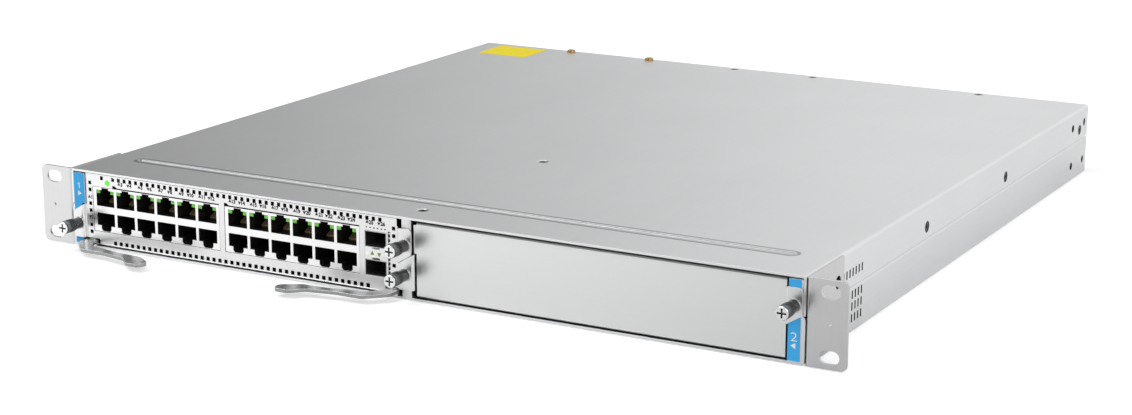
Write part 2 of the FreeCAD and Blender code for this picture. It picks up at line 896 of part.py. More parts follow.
def jack_block(left):
    """Black moulded body with two rows of port cavities."""
    gap = jack_gap + shield
    right = left + jack_block_w
    front = jack_front_y + shield
    back = front + jack_d
    nose = box((left + gap, right - gap), (front, front + jack_nose), (jack_low + gap, jack_high - gap))
    body = box((left + gap, right - gap), (front + jack_nose - past, back), (card_board_top, jack_high - gap))
    cutters = []
    for x in jack_columns(left):
        for upward in (True, False):
            cutters.append(prism("xz", jack_outline(x, upward), front - past, front + jack_depth))
    return join(nose, body).cut(cutters)


def jack_shield(left):
    """Folded metal shield: pierced front, top, two sides and a closed back."""
    gap = jack_gap
    right = left + jack_block_w
    front = jack_front_y
    back = front + 2 * shield + jack_d
    outer = box((left + gap, right - gap), (front, back), (card_board_top, jack_high - gap))
    gap = jack_gap + shield
    hollow = (card_board_top - past, jack_high - gap)
    inner = box((left + gap, right - gap), (front + shield, back - shield), hollow)
    chin = box((left, right), (front - past, front + jack_nose), (hollow[0], jack_low + jack_gap))
    cutters = [inner, chin]
    for x in jack_columns(left):
        for outline in (light_window(x), jack_outline(x, False)):
            cutters.append(prism("xz", outline, front - past, front + shield + touch_gap))
    return outer.cut(cutters)


def port_light_pipes():
    """Two green light pipes in the top corners of each upper port."""
    low = jack_mid_z + jack_rib / 2 + jack_h
    depth = (jack_front_y + pipe_proud, jack_front_y + shield)
    solids = []
    for left in jack_left:
        for x in jack_columns(left):
            for side in (-1, 1):
                middle = x + side * (jack_w - pipe_w) / 2
                solids.append(box(around(middle, pipe_w), depth, (low, low + jack_step_h)))
    return Part.makeCompound(solids)


def jack_contacts():
    """Sloping contact comb inside every port."""
    solids = []
    depth = jack_front_y + shield + jack_depth
    for left in jack_left:
        for x in jack_columns(left):
            for sign in (1, -1):
                base = jack_mid_z + sign * jack_rib / 2
                comb = [(depth, base), (depth, base + sign * comb_h), (depth - comb_d, base)]
                solids.append(prism("yz", comb, *around(x, comb_w)))
    return Part.makeCompound(solids)


def sfp_cage():
    """Two stacked transceiver cages folded from thin sheet, open at the front."""
    left, right = cage_x[0] + cage_fit, cage_x[1] - cage_fit
    back = face_y + cage_d
    tubes = []
    for base in cage_rows:
        low, high = base + cage_fit, base + cage_h - cage_fit
        outer = box((left, right), (face_y, back), (low, high))
        bore_x = (left + cage_sheet, right - cage_sheet)
        bore = box(bore_x, (face_y - past, back - past), (low + cage_sheet, high - cage_sheet))
        tubes.append(outer.cut(bore))
    legs = box((left, right), (face_y + cage_leg, back - cage_leg), (card_board_top, cage_rows[0] + cage_fit))
    web = box((left, right), (face_y + bar_d, back), (cage_rows[0] + cage_h - cage_fit, cage_rows[1] + cage_fit))
    return join(tubes[0], tubes[1], legs, web)


def sfp_light_bar():
    """White bar between the cages that carries the link indicators, notched for the latches."""
    left, right = cage_x[0] + cage_fit, cage_x[1] - cage_fit
    low, high = cage_rows[0] + cage_h, cage_rows[1]
    bar = box((left, right), (face_y, face_y + bar_d), (low, high))
    span = around((left + right) / 2, bar_notch_w)
    depth = (face_y - past, face_y + bar_notch_d)
    notches = [box(span, depth, around(z, 2 * bar_notch_h)) for z in (low, high)]
    return bar.cut(notches)


def sfp_gasket():
    """Sprung finger strip beside the cages, seen through the slot of the faceplate."""
    low, high = jack_low, jack_low + gasket_h
    back = face_y + card_sheet
    seat = back + gasket_rise + gasket_sheet
    edges = (gasket_left - gasket_lap, gasket_left + gasket_w + gasket_lap)
    spine = box(edges, (seat, seat + gasket_sheet), (low, high))
    count = int(gasket_h / gasket_step)
    fingers = []
    for i in range(count):
        z = low + (i + 1 / 2) * gasket_h / count
        wide, narrow = gasket_step / 3, gasket_step / 6
        arch = [(seat, z - wide), (back + gasket_sheet, z - narrow), (back + gasket_sheet, z + narrow), (seat, z + wide)]
        fingers.append(prism("yz", arch, gasket_left + cage_fit, gasket_left + gasket_w - cage_fit))
    foot = box((edges[0], gasket_left), (back, seat + gasket_sheet), (high - gasket_foot, high))
    return join(spine, foot, *fingers)


def status_light_pipe():
    """Green light pipe that runs over the port block and down to the board."""
    x = card_left + led_in
    z = front_top - led_drop
    back = jack_front_y + jack_d + led_back
    points = [(x, face_y - slide_gap, z), (x, back, z), (x, back, card_board_top)]
    return bent_rod(points, led_r, led_bend)


def card_plug():
    """Connector on the rear edge of the card with the tongue that enters its socket."""
    low = card_board_top
    socket_front = bay_d - socket_d
    seam = socket_front - slide_gap
    back = socket_front + plug_tongue
    body = box(around(card_mid, plug_w), (back - plug_d, seam), (low, low + plug_h))
    tongue_x = around(card_mid, plug_w - 2 * plug_wall - 2 * plug_fit)
    tongue_z = (low + plug_wall, low + plug_h - plug_wall)
    return join(body, box(tongue_x, (seam, back), tongue_z))


def finned_sink(x, y, base_z, width, height, fins):
    """Extruded heat sink: a base with even fins along y."""
    run = around(y, width)
    blocks = [box(around(x, width), run, (base_z, base_z + sink_base))]
    step = (width - fin_w) / (fins - 1)
    for i in range(fins):
        middle = x + (i - (fins - 1) / 2) * step
        blocks.append(box(around(middle, fin_w), run, (base_z + sink_base / 2, base_z + height)))
    return join(*blocks)


def card_heatsinks():
    """Two heat sinks on the port chips of the card."""
    size = (card_sink_w, card_sink_h, card_sink_fins)
    places = (card_mid - card_sink_x, card_mid + card_sink_x)
    return Part.makeCompound([finned_sink(x, card_sink_y, card_board_top, *size) for x in places])


def lever_outline():
    """Plan of a lever as reach along the face and forward: neck, straight bar and spoon end."""
    root, tip = lever_root, lever_reach
    neck = [(-root, 0), (-0.9 * root, 2 * root, 1.5 * root)]
    front = [(1.8 * root, lever_front, 1.5 * root), (0.39 * tip, lever_front, 5 * root)]
    front += [(0.69 * tip, lever_front + 3, 2 * root), (0.81 * tip, lever_spoon, 1.2 * root)]
    spoon = [(tip - 2.5, lever_spoon, root), (tip, lever_spoon - 6, root), (0.81 * tip, lever_rear + 0.8, 2 * root)]
    rear = [(0.53 * tip, lever_rear, 5 * root), (2.2 * root, lever_rear - 4, root), (root, 0.9 * root, 0.7 * root)]
    return neck + front + spoon + rear + [(root, 0)]


def ejector_lever(pivot_x, side):
    """Flat lever around its pivot hole; side is the sign of x towards the spoon."""
    plan = [(pivot_x + side * p[0], -p[1]) + tuple(p[2:]) for p in lever_outline()]
    plan += [(pivot_x - side * -lever_root, lever_pivot_y), (pivot_x - side * lever_root, lever_pivot_y)]
    top = lever_z + lever_thick
    blade = prism("xy", plan, lever_z, top)
    disc = rod("xy", pivot_x, lever_pivot_y, lever_root, lever_z, top)
    hole = rod("xy", pivot_x, lever_pivot_y, lever_pin_r + lever_fit, lever_z - past, top + past)
    return join(blade, disc).cut(hole)


def lever_pins():
    """Rivets of the two levers, headed over them."""
    top = lever_z + lever_thick + touch_gap
    solids = []
    for x in lever_pivot_x:
        pin = rod("xy", x, lever_pivot_y, lever_pin_r, front_low, top)
        head = rod("xy", x, lever_pivot_y, lever_pin_r + lever_head, top, top + lever_head_h)
        solids.append(join(pin, head))
    return Part.makeCompound(solids)


def ferrule(place):
    """Collar pressed into an ear, in which a captive screw turns."""
    x, z = place
    front = ear_face_y - ferrule_h
    back = ear_face_y + card_sheet
    stub = rod("xz", x, z, ferrule_stub, ear_face_y, back)
    ring = join(rod("xz", x, z, ferrule_r, front, ear_face_y), stub)
    return ring.cut(rod("xz", x, z, thread_r, front - past, back + past))


def captive_screw(place):
    """Long knob with a stepped waist, a cross recess and a threaded shank."""
    x, z = place
    back = ear_face_y - ferrule_h - touch_gap
    front = back - knob_len
    neck = front + knob_drum
    head = cone("xz", x, z, knob_r - knob_edge, knob_r, front, front + knob_edge)
    drum = rod("xz", x, z, knob_r, front + knob_edge, neck)
    waist = rod("xz", x, z, knob_r - knob_edge, neck, back)
    shank = rod("xz", x, z, screw_r, back, ear_face_y + card_sheet + captive_len)
    depth = (front - past, front + cross_depth)
    return join(head, drum, waist, shank).cut(cross_arms("xz", x, z, cross_w, cross_span, *depth))


def blank_panel():
    """Blank of the empty slot: a folded pan with a low left ear and a high right ear."""
    low, high = front_low, front_top - blank_drop
    path = [(blank_d, high), (face_y, high), (face_y, low), (blank_d, low)]
    pan = fold("yz", path, card_sheet, blank_left, blank_right)
    inset = bend + card_sheet
    hem = [(blank_left, blank_d - card_sheet), (blank_left, face_y), (blank_left + ear_root, face_y)]
    hem = fold("xy", hem, card_sheet, low + inset, high - inset)
    leg_x = blank_left - blank_groove
    ear_top = high_ear_low + ear_slope * (leg_x - card_right) - slide_gap
    path = [(post_left - ear_joggle, ear_face_y), (leg_x, ear_face_y), (leg_x, blank_leg)]
    ear = fold("xy", path, card_sheet, ear_low, ear_top)
    ear = ear.cut(slanted(post_left - past, leg_x, ear_top, leg_x, True))
    turn = (leg_x - card_sheet, blank_left + card_sheet)
    turn = box(turn, (blank_leg, blank_leg + card_sheet), (ear_low, ear_top))
    lip = (blank_left - blank_lip, blank_left + card_sheet)
    lip = box(lip, (face_y, face_y + card_sheet), (ear_top + slide_gap, high - inset))
    right = high_ear(blank_right, half_w - ear_tip_in)
    panel = join(pan, hem, ear, turn, lip, right)
    holes = [rod("xz", x, z, ferrule_stub, ear_face_y - past, face_y) for x, z in (mid_screw_low, right_screw)]
    return panel.cut(holes)


def rear_panel():
    """Rear wall with lips, power supply openings, fan bay and a vented end."""
    lip = body_d - rear_lip
    path = [(lip, sheet), (body_d, sheet), (body_d, lid_under), (lip, lid_under)]
    reach = wall_in - touch_gap
    panel = fold("yz", path, sheet, -reach, reach)
    web = (body_d - sheet - bend, body_d + past)
    bay_z = (psu_z[0] - slide_gap, psu_z[1] + slide_gap)
    cutters = [box(around(x, psu_w + 2 * slide_gap), web, bay_z) for x in psu_x]
    for x in list(psu_x) + rear_screw_x:
        cutters.append(rod("xy", x, row_y, thread_r, lid_under - 2 * sheet, body_h))
    cutters.append(box(fan_bay, (lip - past, body_d + past), (0, fan_bay_top)))
    for i in range(rear_slots):
        x = rear_slot_in - half_w + i * rear_slot_pitch
        cutters.append(pane("xz", x, mid_z, rear_slot_w, rear_slot_h, *web))
    cutters += [rod("xz", x, z, thread_r, *web) for x, z in tray_screw_places()]
    return panel.cut(cutters)


def bay_walls():
    """Three angles that part and guide the two power supplies."""
    left = psu_x[0] - psu_w / 2 - bay_wall_gap - sheet
    middle = (psu_x[0] + psu_x[1] - sheet) / 2
    right = psu_x[1] + psu_w / 2 + bay_wall_gap
    run = (psu_front, body_d - rear_lip - bay_wall_back)
    solids = []
    for x, side in ((left, -1), (middle, -1), (right, 1)):
        wall = box((x, x + sheet), run, (sheet, psu_z[1]))
        foot = sorted((x + sheet / 2, x + sheet / 2 + side * bay_foot))
        solids.append(join(wall, box(foot, run, (sheet, 2 * sheet))))
    return Part.makeCompound(solids)


def psu_case(x):
    """Sheet metal case of a power supply with a slotted rear face and an inlet cut-out."""
    low, high = psu_z
    wall = psu_sheet
    case = box(around(x, psu_w), (psu_front, psu_back), psu_z)
    inside = (psu_front + wall, psu_back - wall)
    cutters = [box(around(x, psu_w - 2 * wall), inside, (low + wall, high - wall))]
    face = (psu_back - wall - past, psu_back + past)
    size = (inlet_w - 2 * inlet_flange, inlet_h - 2 * inlet_flange)
    cutters.append(pane("xz", x + inlet_x, low + inlet_rise + inlet_h / 2, *size, *face))
    for i in range(psu_slots):
        slot_x = x - psu_slot_x + i * psu_slot_pitch
        cutters.append(pane("xz", slot_x, high - psu_slot_drop, psu_slot_pitch / 2, psu_slot_h, *face))
    stem_low, stem_high = latch_stem_z()
    cutters.append(box((x + latch_x - latch_play, x + latch_x + latch_stem + touch_gap), face, (stem_low - slide_gap, stem_high + slide_gap)))
    return case.cut(cutters)


def latch_stem_z():
    """Height range of the stem of a power supply latch."""
    low = psu_z[0] + latch_rise
    return low + latch_inset, low + latch_h - latch_inset


def psu_inlet(x):
    """Three-pin appliance inlet set into the rear face of a power supply."""
    mid_x = x + inlet_x
    mid = psu_z[0] + inlet_rise + inlet_h / 2
    flange = pane("xz", mid_x, mid, inlet_w, inlet_h, psu_back, psu_back + inlet_rim)
    neck = (inlet_w - 2 * inlet_flange, inlet_h - 2 * inlet_flange)
    floor_y = psu_back - inlet_depth
    shell = join(flange, pane("xz", mid_x, mid, *neck, floor_y - inlet_wall, psu_back))
    a, b = inlet_cavity_w / 2, inlet_cavity_h / 2
    c = inlet_corner
    mouth = [(-a, -b), (a, -b), (a, b - c), (a - c, b), (c - a, b), (-a, b - c)]
    shell = shell.cut(prism("xz", [(mid_x + p, mid + q) for p, q in mouth], floor_y, psu_back + 2 * inlet_rim))
    places = ((-pin_pitch, -pin_drop), (0, pin_lift), (pin_pitch, -pin_drop))
    depth = (floor_y - inlet_wall / 2, psu_back - pin_in)
    return join(shell, *[pane("xz", mid_x + p, mid + q, pin_w, pin_h, *depth) for p, q in places])


def grip(x, base_y, low, high):
    """Black bar handle with two rounded legs."""
    out = base_y + handle_out
    return bent_rod([(x, base_y, low), (x, out, low), (x, out, high), (x, base_y, high)], handle_r, handle_bend)


def psu_latch(x):
    """Sprung thumb latch of a power supply, on a stem through its face."""
    low = psu_z[0] + latch_rise
    left = x + latch_x
    pad = box((left, left + latch_w), (psu_back + touch_gap, psu_back + latch_out), (low, low + latch_h))
    tail = psu_back - latch_tail
    stem = box((left, left + latch_stem), (tail, psu_back + past), latch_stem_z())
    hook = box((left, left + latch_w), (tail, tail + latch_stem), latch_stem_z())
    return join(pad, stem, hook)


def tray_screw_places():
    """Screws of the fan tray, one at each end of its rear plate."""
    left, right = fan_bay[0] - tray_screw_in, fan_bay[1] + tray_screw_in
    return [(left, mid_z), (right, mid_z + tray_screw_rise)]


def fan_tray():
    """Removable fan carrier: floor and rear plate folded from one sheet, with slotted grilles."""
    low = sheet + touch_gap
    inner = (fan_bay[0] + slide_gap, fan_bay[1] - slide_gap)
    path = [(body_d - tray_d, low), (tray_back, low), (tray_back, fan_bay_top)]
    carrier = fold("yz", path, tray_sheet, *inner)
    face = (tray_back - tray_sheet, tray_back)
    outer = (fan_bay[0] - tray_margin, fan_bay[1] + tray_margin)
    carrier = join(carrier, box(outer, face, (low + tray_rise, fan_bay_top + edge_gap)))
    through = (face[0] - past, face[1] + past)
    cutters = []
    for x in fan_x:
        for i in range(tray_slots):
            offset = (i - (tray_slots - 1) / 2) * tray_slot_pitch
            tall = 2 * math.sqrt(fan_bore_r ** 2 - offset ** 2) - fan_rim
            cutters.append(pane("xz", x + offset, fan_mid_z, tray_slot_w, tall, *through))
    cutters += [rod("xz", x, z, through_r, *through) for x, z in tray_screw_places()]
    return carrier.cut(cutters)


def fan_tray_screws():
    """Pan head screws that hold the fan tray plate to the rear panel."""
    tip = tray_back - tray_screw_len
    return Part.makeCompound([pan_screw("xz", x, z, tray_back, tip) for x, z in tray_screw_places()])


def fan_frames():
    """Square fan housings with a round bore, a strutted motor seat and an axle."""
    back = body_d - fan_back
    front = back - fan_d
    across = 2 * fan_bore_r + fan_rim
    solids = []
    for x in fan_x:
        frame = pane("xz", x, fan_mid_z, fan_w, fan_w, front, back)
        frame = frame.cut(rod("xz", x, fan_mid_z, fan_bore_r, front - past, back + past))
        seat = rod("xz", x, fan_mid_z, fan_hub_r, front, front + fan_seat)
        struts = [pane("xz", x, fan_mid_z, fan_strut, across, front, front + fan_strut)]
        struts.append(pane("xz", x, fan_mid_z, across, fan_strut, front, front + fan_strut))
        axle = rod("xz", x, fan_mid_z, fan_axle_r, front, back - 2 * fan_seat)
        solids.append(join(frame, seat, axle, *struts))
    return Part.makeCompound(solids)


def fan_rotor(x):
    """Hub with pitched blades around a bored boss."""
    back = body_d - fan_back
    first, last = back - fan_d + fan_end_gap, back - fan_end_gap
    hub = rod("xz", x, fan_mid_z, fan_hub_r, first, last)
    tip = fan_bore_r - fan_tip_gap
    middle = Vector(x, (first + last) / 2, fan_mid_z)
    blades = []
    for i in range(fan_blades):
        blade = box(around(x, fan_blade), around(middle.y, fan_chord), (fan_mid_z + fan_hub_r / 2, fan_mid_z + tip))
        blade.rotate(middle, Vector(0, 0, 1), fan_pitch_deg)
        blade.rotate(middle, Vector(0, 1, 0), i * 360 / fan_blades)
        blades.append(blade)
    rotor = join(hub, *blades).common(rod("xz", x, fan_mid_z, tip, first, last))
    bore_end = back - 2 * fan_seat + thread_gap
    return rotor.cut(rod("xz", x, fan_mid_z, fan_axle_r + thread_gap, first - past, bore_end))


def window_cutters(low, high):
    """Air windows above the sockets, in step through the backplane and its frame."""
    count = int((wall_in - window_w) / window_pitch)
    z = mid_z + window_rise
    places = [i * window_pitch for i in range(-count, count + 1)]
    return [pane("xz", x, z, window_w, window_h, low - past, high + past) for x in places]


def backplane_frame():
    """Angle across the chassis that carries the backplane, with air windows."""
    front = bay_d + plane_thick
    reach = wall_in - touch_gap
    path = [(front, lid_under - plane_drop), (front, sheet), (front + plane_foot, sheet)]
    return fold("yz", path, sheet, -reach, reach).cut(window_cutters(front, front + sheet))


def backplane_board():
    """Upright circuit board that both slots plug into."""
    low = 2 * sheet + bend
    reach = wall_in - plane_in
    board = box((-reach, reach), (bay_d, bay_d + plane_thick), (low, low + plane_h))
    return board.cut(window_cutters(bay_d, bay_d + plane_thick))


def backplane_sockets():
    """One long socket per slot, facing the front, hollow for the tongue of a card."""
    low, high = card_board_top, card_board_top + plug_h
    wall = plug_wall - plug_fit
    front = bay_d - socket_d
    solids = []
    for middle in (card_mid, blank_mid):
        body = box(around(middle, plug_w), (front, bay_d), (low, high))
        mouth_x = around(middle, plug_w - 2 * plug_wall)
        solids.append(body.cut(box(mouth_x, (front - past, bay_d - socket_floor), (low + wall, high - wall))))
    return Part.makeCompound(solids)


def board_spots():
    """Standoff positions under the main board."""
    outer = wall_in - standoff_in
    columns = (-outer, -outer + standoff_side, outer - standoff_side, outer)
    spots = [(x, y) for x in columns for y in (main_front + standoff_edge, board_cut_y - standoff_edge)]
    return spots + [(x, main_back - standoff_edge) for x in (bay_edge + standoff_edge, outer)]


def main_board():
    """Main circuit board behind the backplane, cut away for the power supplies."""
    side = wall_in - main_in
    plan = [(-side, main_front), (side, main_front), (side, main_back), (bay_edge, main_back)]
    plan += [(bay_edge, board_cut_y), (-side, board_cut_y)]
    board = prism("xy", plan, main_z, main_z + board_thick)
    return board.cut([rod("xy", x, y, screw_r, main_z - past, main_z + 2 * board_thick) for x, y in board_spots()])


def board_standoffs():
    """Hexagonal standoffs between the floor and the main board."""
    solids = []
    turns = [math.radians(60 * i) for i in range(6)]
    for x, y in board_spots():
        ring = [(x + standoff_r * math.cos(t), y + standoff_r * math.sin(t)) for t in turns]
        solids.append(prism("xy", ring, sheet, main_z))
    return Part.makeCompound(solids)


def chip_places():
    """Switching chips of the main board, one near each end of its deep half."""
    edge = psu_x[1] + psu_w / 2
    return [(edge + chip_first[0], main_front + chip_first[1]), (edge + chip_last[0], main_back - chip_last[1])]


def switch_chips():
    """Large packages under the main heat sinks."""
    z = (main_z + board_thick, main_z + board_thick + chip_h)
    return Part.makeCompound([box(around(x, chip_w), around(y, chip_w), z) for x, y in chip_places()])


def switch_heatsinks():
    """Finned heat sinks on the switching chips."""
    base = main_z + board_thick + chip_h
    return Part.makeCompound([finned_sink(x, y, base, sink_w, sink_h, sink_fins) for x, y in chip_places()])


def top_sticker():
    """Plain yellow sticker near the left rear corner of the lid."""
    left = sticker_side - half_w
    back = body_d - sticker_back
    return box((left, left + sticker_w), (back - sticker_d, back), (body_h, body_h + label_thick))


def build():
    """Make every piece and write it."""
    os.makedirs("parts", exist_ok=True)
    save("base_tray", base_tray())
    save("top_cover", top_cover())
    ear = rack_ear()
    save("rack_ear_right", ear)
    save("rack_ear_left", mirrored(ear))
    save("ear_screws", ear_screws())
    save("centre_post", centre_post())
    left_label, right_label = slot_labels()
    save("slot_label_left", left_label)
    save("slot_label_right", right_label)
    save("cover_screws", cover_screws())
    save("lock_screws", lock_screws())
    save("rear_panel", rear_panel())
    save("bay_walls", bay_walls())
    save("backplane_frame", backplane_frame())
    save("backplane_board", backplane_board())
    save("backplane_sockets", backplane_sockets())
    save("main_board", main_board())
    save("board_standoffs", board_standoffs())
    save("switch_chips", switch_chips())
    save("switch_heatsinks", switch_heatsinks())
    save("top_sticker", top_sticker())
    save("card_tray", card_tray())
    save("card_board", card_board())
    for i, left in enumerate(jack_left, start=1):
        save("jack_block_%d" % i, jack_block(left))
        save("jack_shield_%d" % i, jack_shield(left))
    save("jack_contacts", jack_contacts())
    save("port_light_pipes", port_light_pipes())
    save("sfp_cage", sfp_cage())
    save("sfp_light_bar", sfp_light_bar())
    save("sfp_gasket", sfp_gasket())
    save("status_light_pipe", status_light_pipe())
    save("card_plug", card_plug())
    save("card_heatsinks", card_heatsinks())
    save("lever_pins", lever_pins())
    save("card_ferrules", Part.makeCompound([ferrule(left_screw), ferrule(mid_screw_high)]))
    save("ejector_lever_left", ejector_lever(lever_pivot_x[0], 1))
    save("ejector_lever_right", ejector_lever(lever_pivot_x[1], -1))
    save("card_screw_left", captive_screw(left_screw))
    save("card_screw_right", captive_screw(mid_screw_high))
    save("blank_panel", blank_panel())
    save("blank_ferrules", Part.makeCompound([ferrule(mid_screw_low), ferrule(right_screw)]))
    save("blank_screw_left", captive_screw(mid_screw_low))
    save("blank_screw_right", captive_screw(right_screw))
    for i, x in enumerate(psu_x, start=1):
        save("psu_case_%d" % i, psu_case(x))
        save("psu_inlet_%d" % i, psu_inlet(x))
        side = x - psu_w / 2 + handle_in
        save("psu_handle_%d" % i, grip(side, psu_back, psu_z[0] + handle_low, psu_z[1] - handle_top))
        save("psu_latch_%d" % i, psu_latch(x))
    save("fan_tray", fan_tray())
    save("fan_tray_handle", grip(fan_bay[1] + tray_screw_in, tray_back, *tray_handle))
    save("fan_tray_screws", fan_tray_screws())
    save("fan_frames", fan_frames())
    for i, x in enumerate(fan_x, start=1):
        save("fan_rotor_%d" % i, fan_rotor(x))


build()
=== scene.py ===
import json
import math

import bmesh
import bpy
import numpy as np
from bpy.props import FloatProperty, IntProperty, PointerProperty, StringProperty
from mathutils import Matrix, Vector


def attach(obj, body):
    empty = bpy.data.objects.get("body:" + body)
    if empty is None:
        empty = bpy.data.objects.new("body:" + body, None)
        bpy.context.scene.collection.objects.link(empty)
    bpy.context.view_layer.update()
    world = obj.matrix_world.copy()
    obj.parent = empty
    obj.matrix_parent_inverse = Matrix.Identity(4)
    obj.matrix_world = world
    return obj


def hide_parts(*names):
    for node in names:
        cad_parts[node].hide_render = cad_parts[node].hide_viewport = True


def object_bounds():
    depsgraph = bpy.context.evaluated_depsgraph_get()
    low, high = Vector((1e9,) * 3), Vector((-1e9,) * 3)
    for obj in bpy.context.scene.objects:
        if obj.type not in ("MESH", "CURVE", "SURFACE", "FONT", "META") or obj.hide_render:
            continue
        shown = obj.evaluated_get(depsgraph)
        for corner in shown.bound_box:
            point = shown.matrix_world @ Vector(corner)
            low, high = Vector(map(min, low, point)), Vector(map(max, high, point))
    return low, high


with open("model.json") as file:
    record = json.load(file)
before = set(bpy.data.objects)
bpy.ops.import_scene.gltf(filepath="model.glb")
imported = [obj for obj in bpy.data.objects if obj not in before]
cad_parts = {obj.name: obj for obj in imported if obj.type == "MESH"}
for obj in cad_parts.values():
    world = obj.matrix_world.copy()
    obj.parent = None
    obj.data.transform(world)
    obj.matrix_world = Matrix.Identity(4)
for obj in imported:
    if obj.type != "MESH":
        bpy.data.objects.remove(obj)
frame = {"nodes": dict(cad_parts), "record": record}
CAD_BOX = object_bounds()
CAD_BOX_LOW = CAD_BOX[0][2]

bl_info = {
    "name": "Modular chassis switch looks",
    "version": (1, 0, 0),
    "blender": (4, 5, 0),
    "location": "View3D > Sidebar > Chassis switch",
    "description": "Dresses the packed chassis switch with finishes, contacts, printed marks and a studio",
    "category": "Object",
}

MM = 0.001
FAR = 1.0  # metres, past every point of the switch
RECORD = frame["record"]


def read_places(mesh):
    """Places of a mesh's points, one to a row, in metres."""
    places = np.empty(len(mesh.vertices) * 3)
    mesh.vertices.foreach_get("co", places)
    return places.reshape(-1, 3)


def write_places(mesh, places):
    """Put the places back into a mesh's points."""
    mesh.vertices.foreach_set("co", places.ravel())
    mesh.update()


def corner_boxes(name):
    """Low and high corner of a CAD node, in metres."""
    places = read_places(frame["nodes"][name].data)
    return places.min(axis=0), places.max(axis=0)


def body_of(node):
    """CAD body that a node belongs to."""
    groups = RECORD["behaviour"]["bodies"]
    return next(body for body, nodes in groups.items() if node in nodes)


def slot_of(node):
    """Material slot that the record gives a node."""
    return next(s["material_slot"] for s in RECORD["subparts"] if s["node"] == node)


# Places that the pieces below share, read from the frame
OPENINGS = RECORD["physics"]["openings"]
PORTS = [np.array(hole["box_m"]) for hole in OPENINGS if hole["name"].startswith("port_")]
PLATE_Y = corner_boxes("blank_panel")[0][1] + 2.0 * MM  # the card's face, 2 mm behind the blank's
CAGE_MID = sum(side[0] for side in corner_boxes("sfp_light_bar")) / 2
KNOB_FACE_Y = corner_boxes("card_screw_left")[0][1]
LEVER_TOP = corner_boxes("ejector_lever_left")[1][2]
SIDE_X = corner_boxes("top_cover")[1][0]

# Painted shading of the lid's pressed bead: its middle line, how far that runs to each side, and half its
# width
BEAD_Y = 34.0 * MM
BEAD_REACH = SIDE_X - 17.5 * MM
BEAD_HALF = 5.2 * MM

# How the drawn sticker differs from its solid: its shift, and its size over the solid's
STICKER_MOVE = (-1.5 * MM, -1.0 * MM, 0.0)
STICKER_SIZE = (0.9, 1.12, 1.0)

# Lock hole in the ears, by depth and height: where the solid has it, and where it is drawn, how large
LOCK_NODES = ("rack_ear_left", "rack_ear_right")
LOCK_OLD = np.array([36.4, 30.4]) * MM
LOCK_NEW = np.array([35.8, 31.9]) * MM
LOCK_R = 5.0 * MM
LOCK_SHRINK = 0.66
LOCK_SIDE = 214.0 * MM  # the hole lies farther out than this

# Spacings of the patterns. The real rolling lines, turned rings and paper tooth are about 0.1 mm,
# too fine to show, and are drawn as coarse as they need to be
ROLL_LINE = 1.111 * MM
ROLL_CLOUD = 71.43 * MM
TURN_RING = 1.429 * MM
KNURL_GRAIN = 1.111 * MM
NYLON_GRAIN = 0.12 * MM
POWDER_GRAIN = 0.4 * MM
INK_MESH = 0.2 * MM
FILM_PEEL = 1.111 * MM
ACRYLIC_FLOW = 2.0 * MM
COPPER_FIELD = 6.25 * MM
MASK_RIPPLE = 1.667 * MM
PAPER_TOOTH = 3.333 * MM


# Settings a user would change

LENGTH = {"unit": "LENGTH", "precision": 5}


class FINISH_PG_settings(bpy.types.PropertyGroup):
    """Edge size and colours of the finishes."""

    edge: FloatProperty(
        name="Edge softness", description="Radius of a deburred sheet edge", default=0.09 * MM, **LENGTH
    )
    ink: StringProperty(name="Ink", description="Printed marks as an sRGB hex colour", default="16181A")
    blue: StringProperty(
        name="Label blue", description="Slot labels as an sRGB hex colour", default="42B1F1"
    )
    yellow: StringProperty(
        name="Sticker yellow", description="Lid sticker as an sRGB hex colour", default="F0DC20"
    )
    olive: StringProperty(
        name="Cage arrows", description="Link arrows as an sRGB hex colour", default="7F9632"
    )


class WIRE_PG_settings(bpy.types.PropertyGroup):
    """Sizes of the sprung wires in a port and of the sprung fingers beside the cages."""

    count: IntProperty(name="Wires", description="Contact wires in one port", default=8)
    pitch: FloatProperty(name="Pitch", description="Spacing of the wires", default=1.02 * MM, **LENGTH)
    width: FloatProperty(name="Width", description="Width of a wire", default=0.56 * MM, **LENGTH)
    thick: FloatProperty(name="Thickness", description="Thickness of a wire", default=0.3 * MM, **LENGTH)
    finger: FloatProperty(
        name="Finger pitch", description="Spacing of the sprung fingers", default=2.49 * MM, **LENGTH
    )
    bulge: FloatProperty(
        name="Bulge", description="How far a finger stands out", default=0.9 * MM, **LENGTH
    )


class KNURL_PG_settings(bpy.types.PropertyGroup):
    """Straight knurl on the knobs of the captive screws."""

    teeth: IntProperty(name="Ridges", description="Ridges round a knob", default=40)
    depth: FloatProperty(name="Depth", description="Height of a ridge", default=0.1 * MM, **LENGTH)


class MARK_PG_settings(bpy.types.PropertyGroup):
    """Sizes of the printed marks."""

    digit: FloatProperty(
        name="Digit height", description="Height of the port numbers", default=2.3 * MM, **LENGTH
    )
    arrow: FloatProperty(
        name="Arrow width", description="Width of the port arrows", default=2.1 * MM, **LENGTH
    )
    slot_digit: FloatProperty(
        name="Slot number height", description="Height of the slot numbers", default=4.3 * MM, **LENGTH
    )
    weight: FloatProperty(
        name="Stroke weight", description="How much strokes are thickened, in letter heights", default=0.052
    )
    film: FloatProperty(
        name="Ink thickness", description="Height of the ink", default=0.012 * MM, unit="LENGTH", precision=6
    )


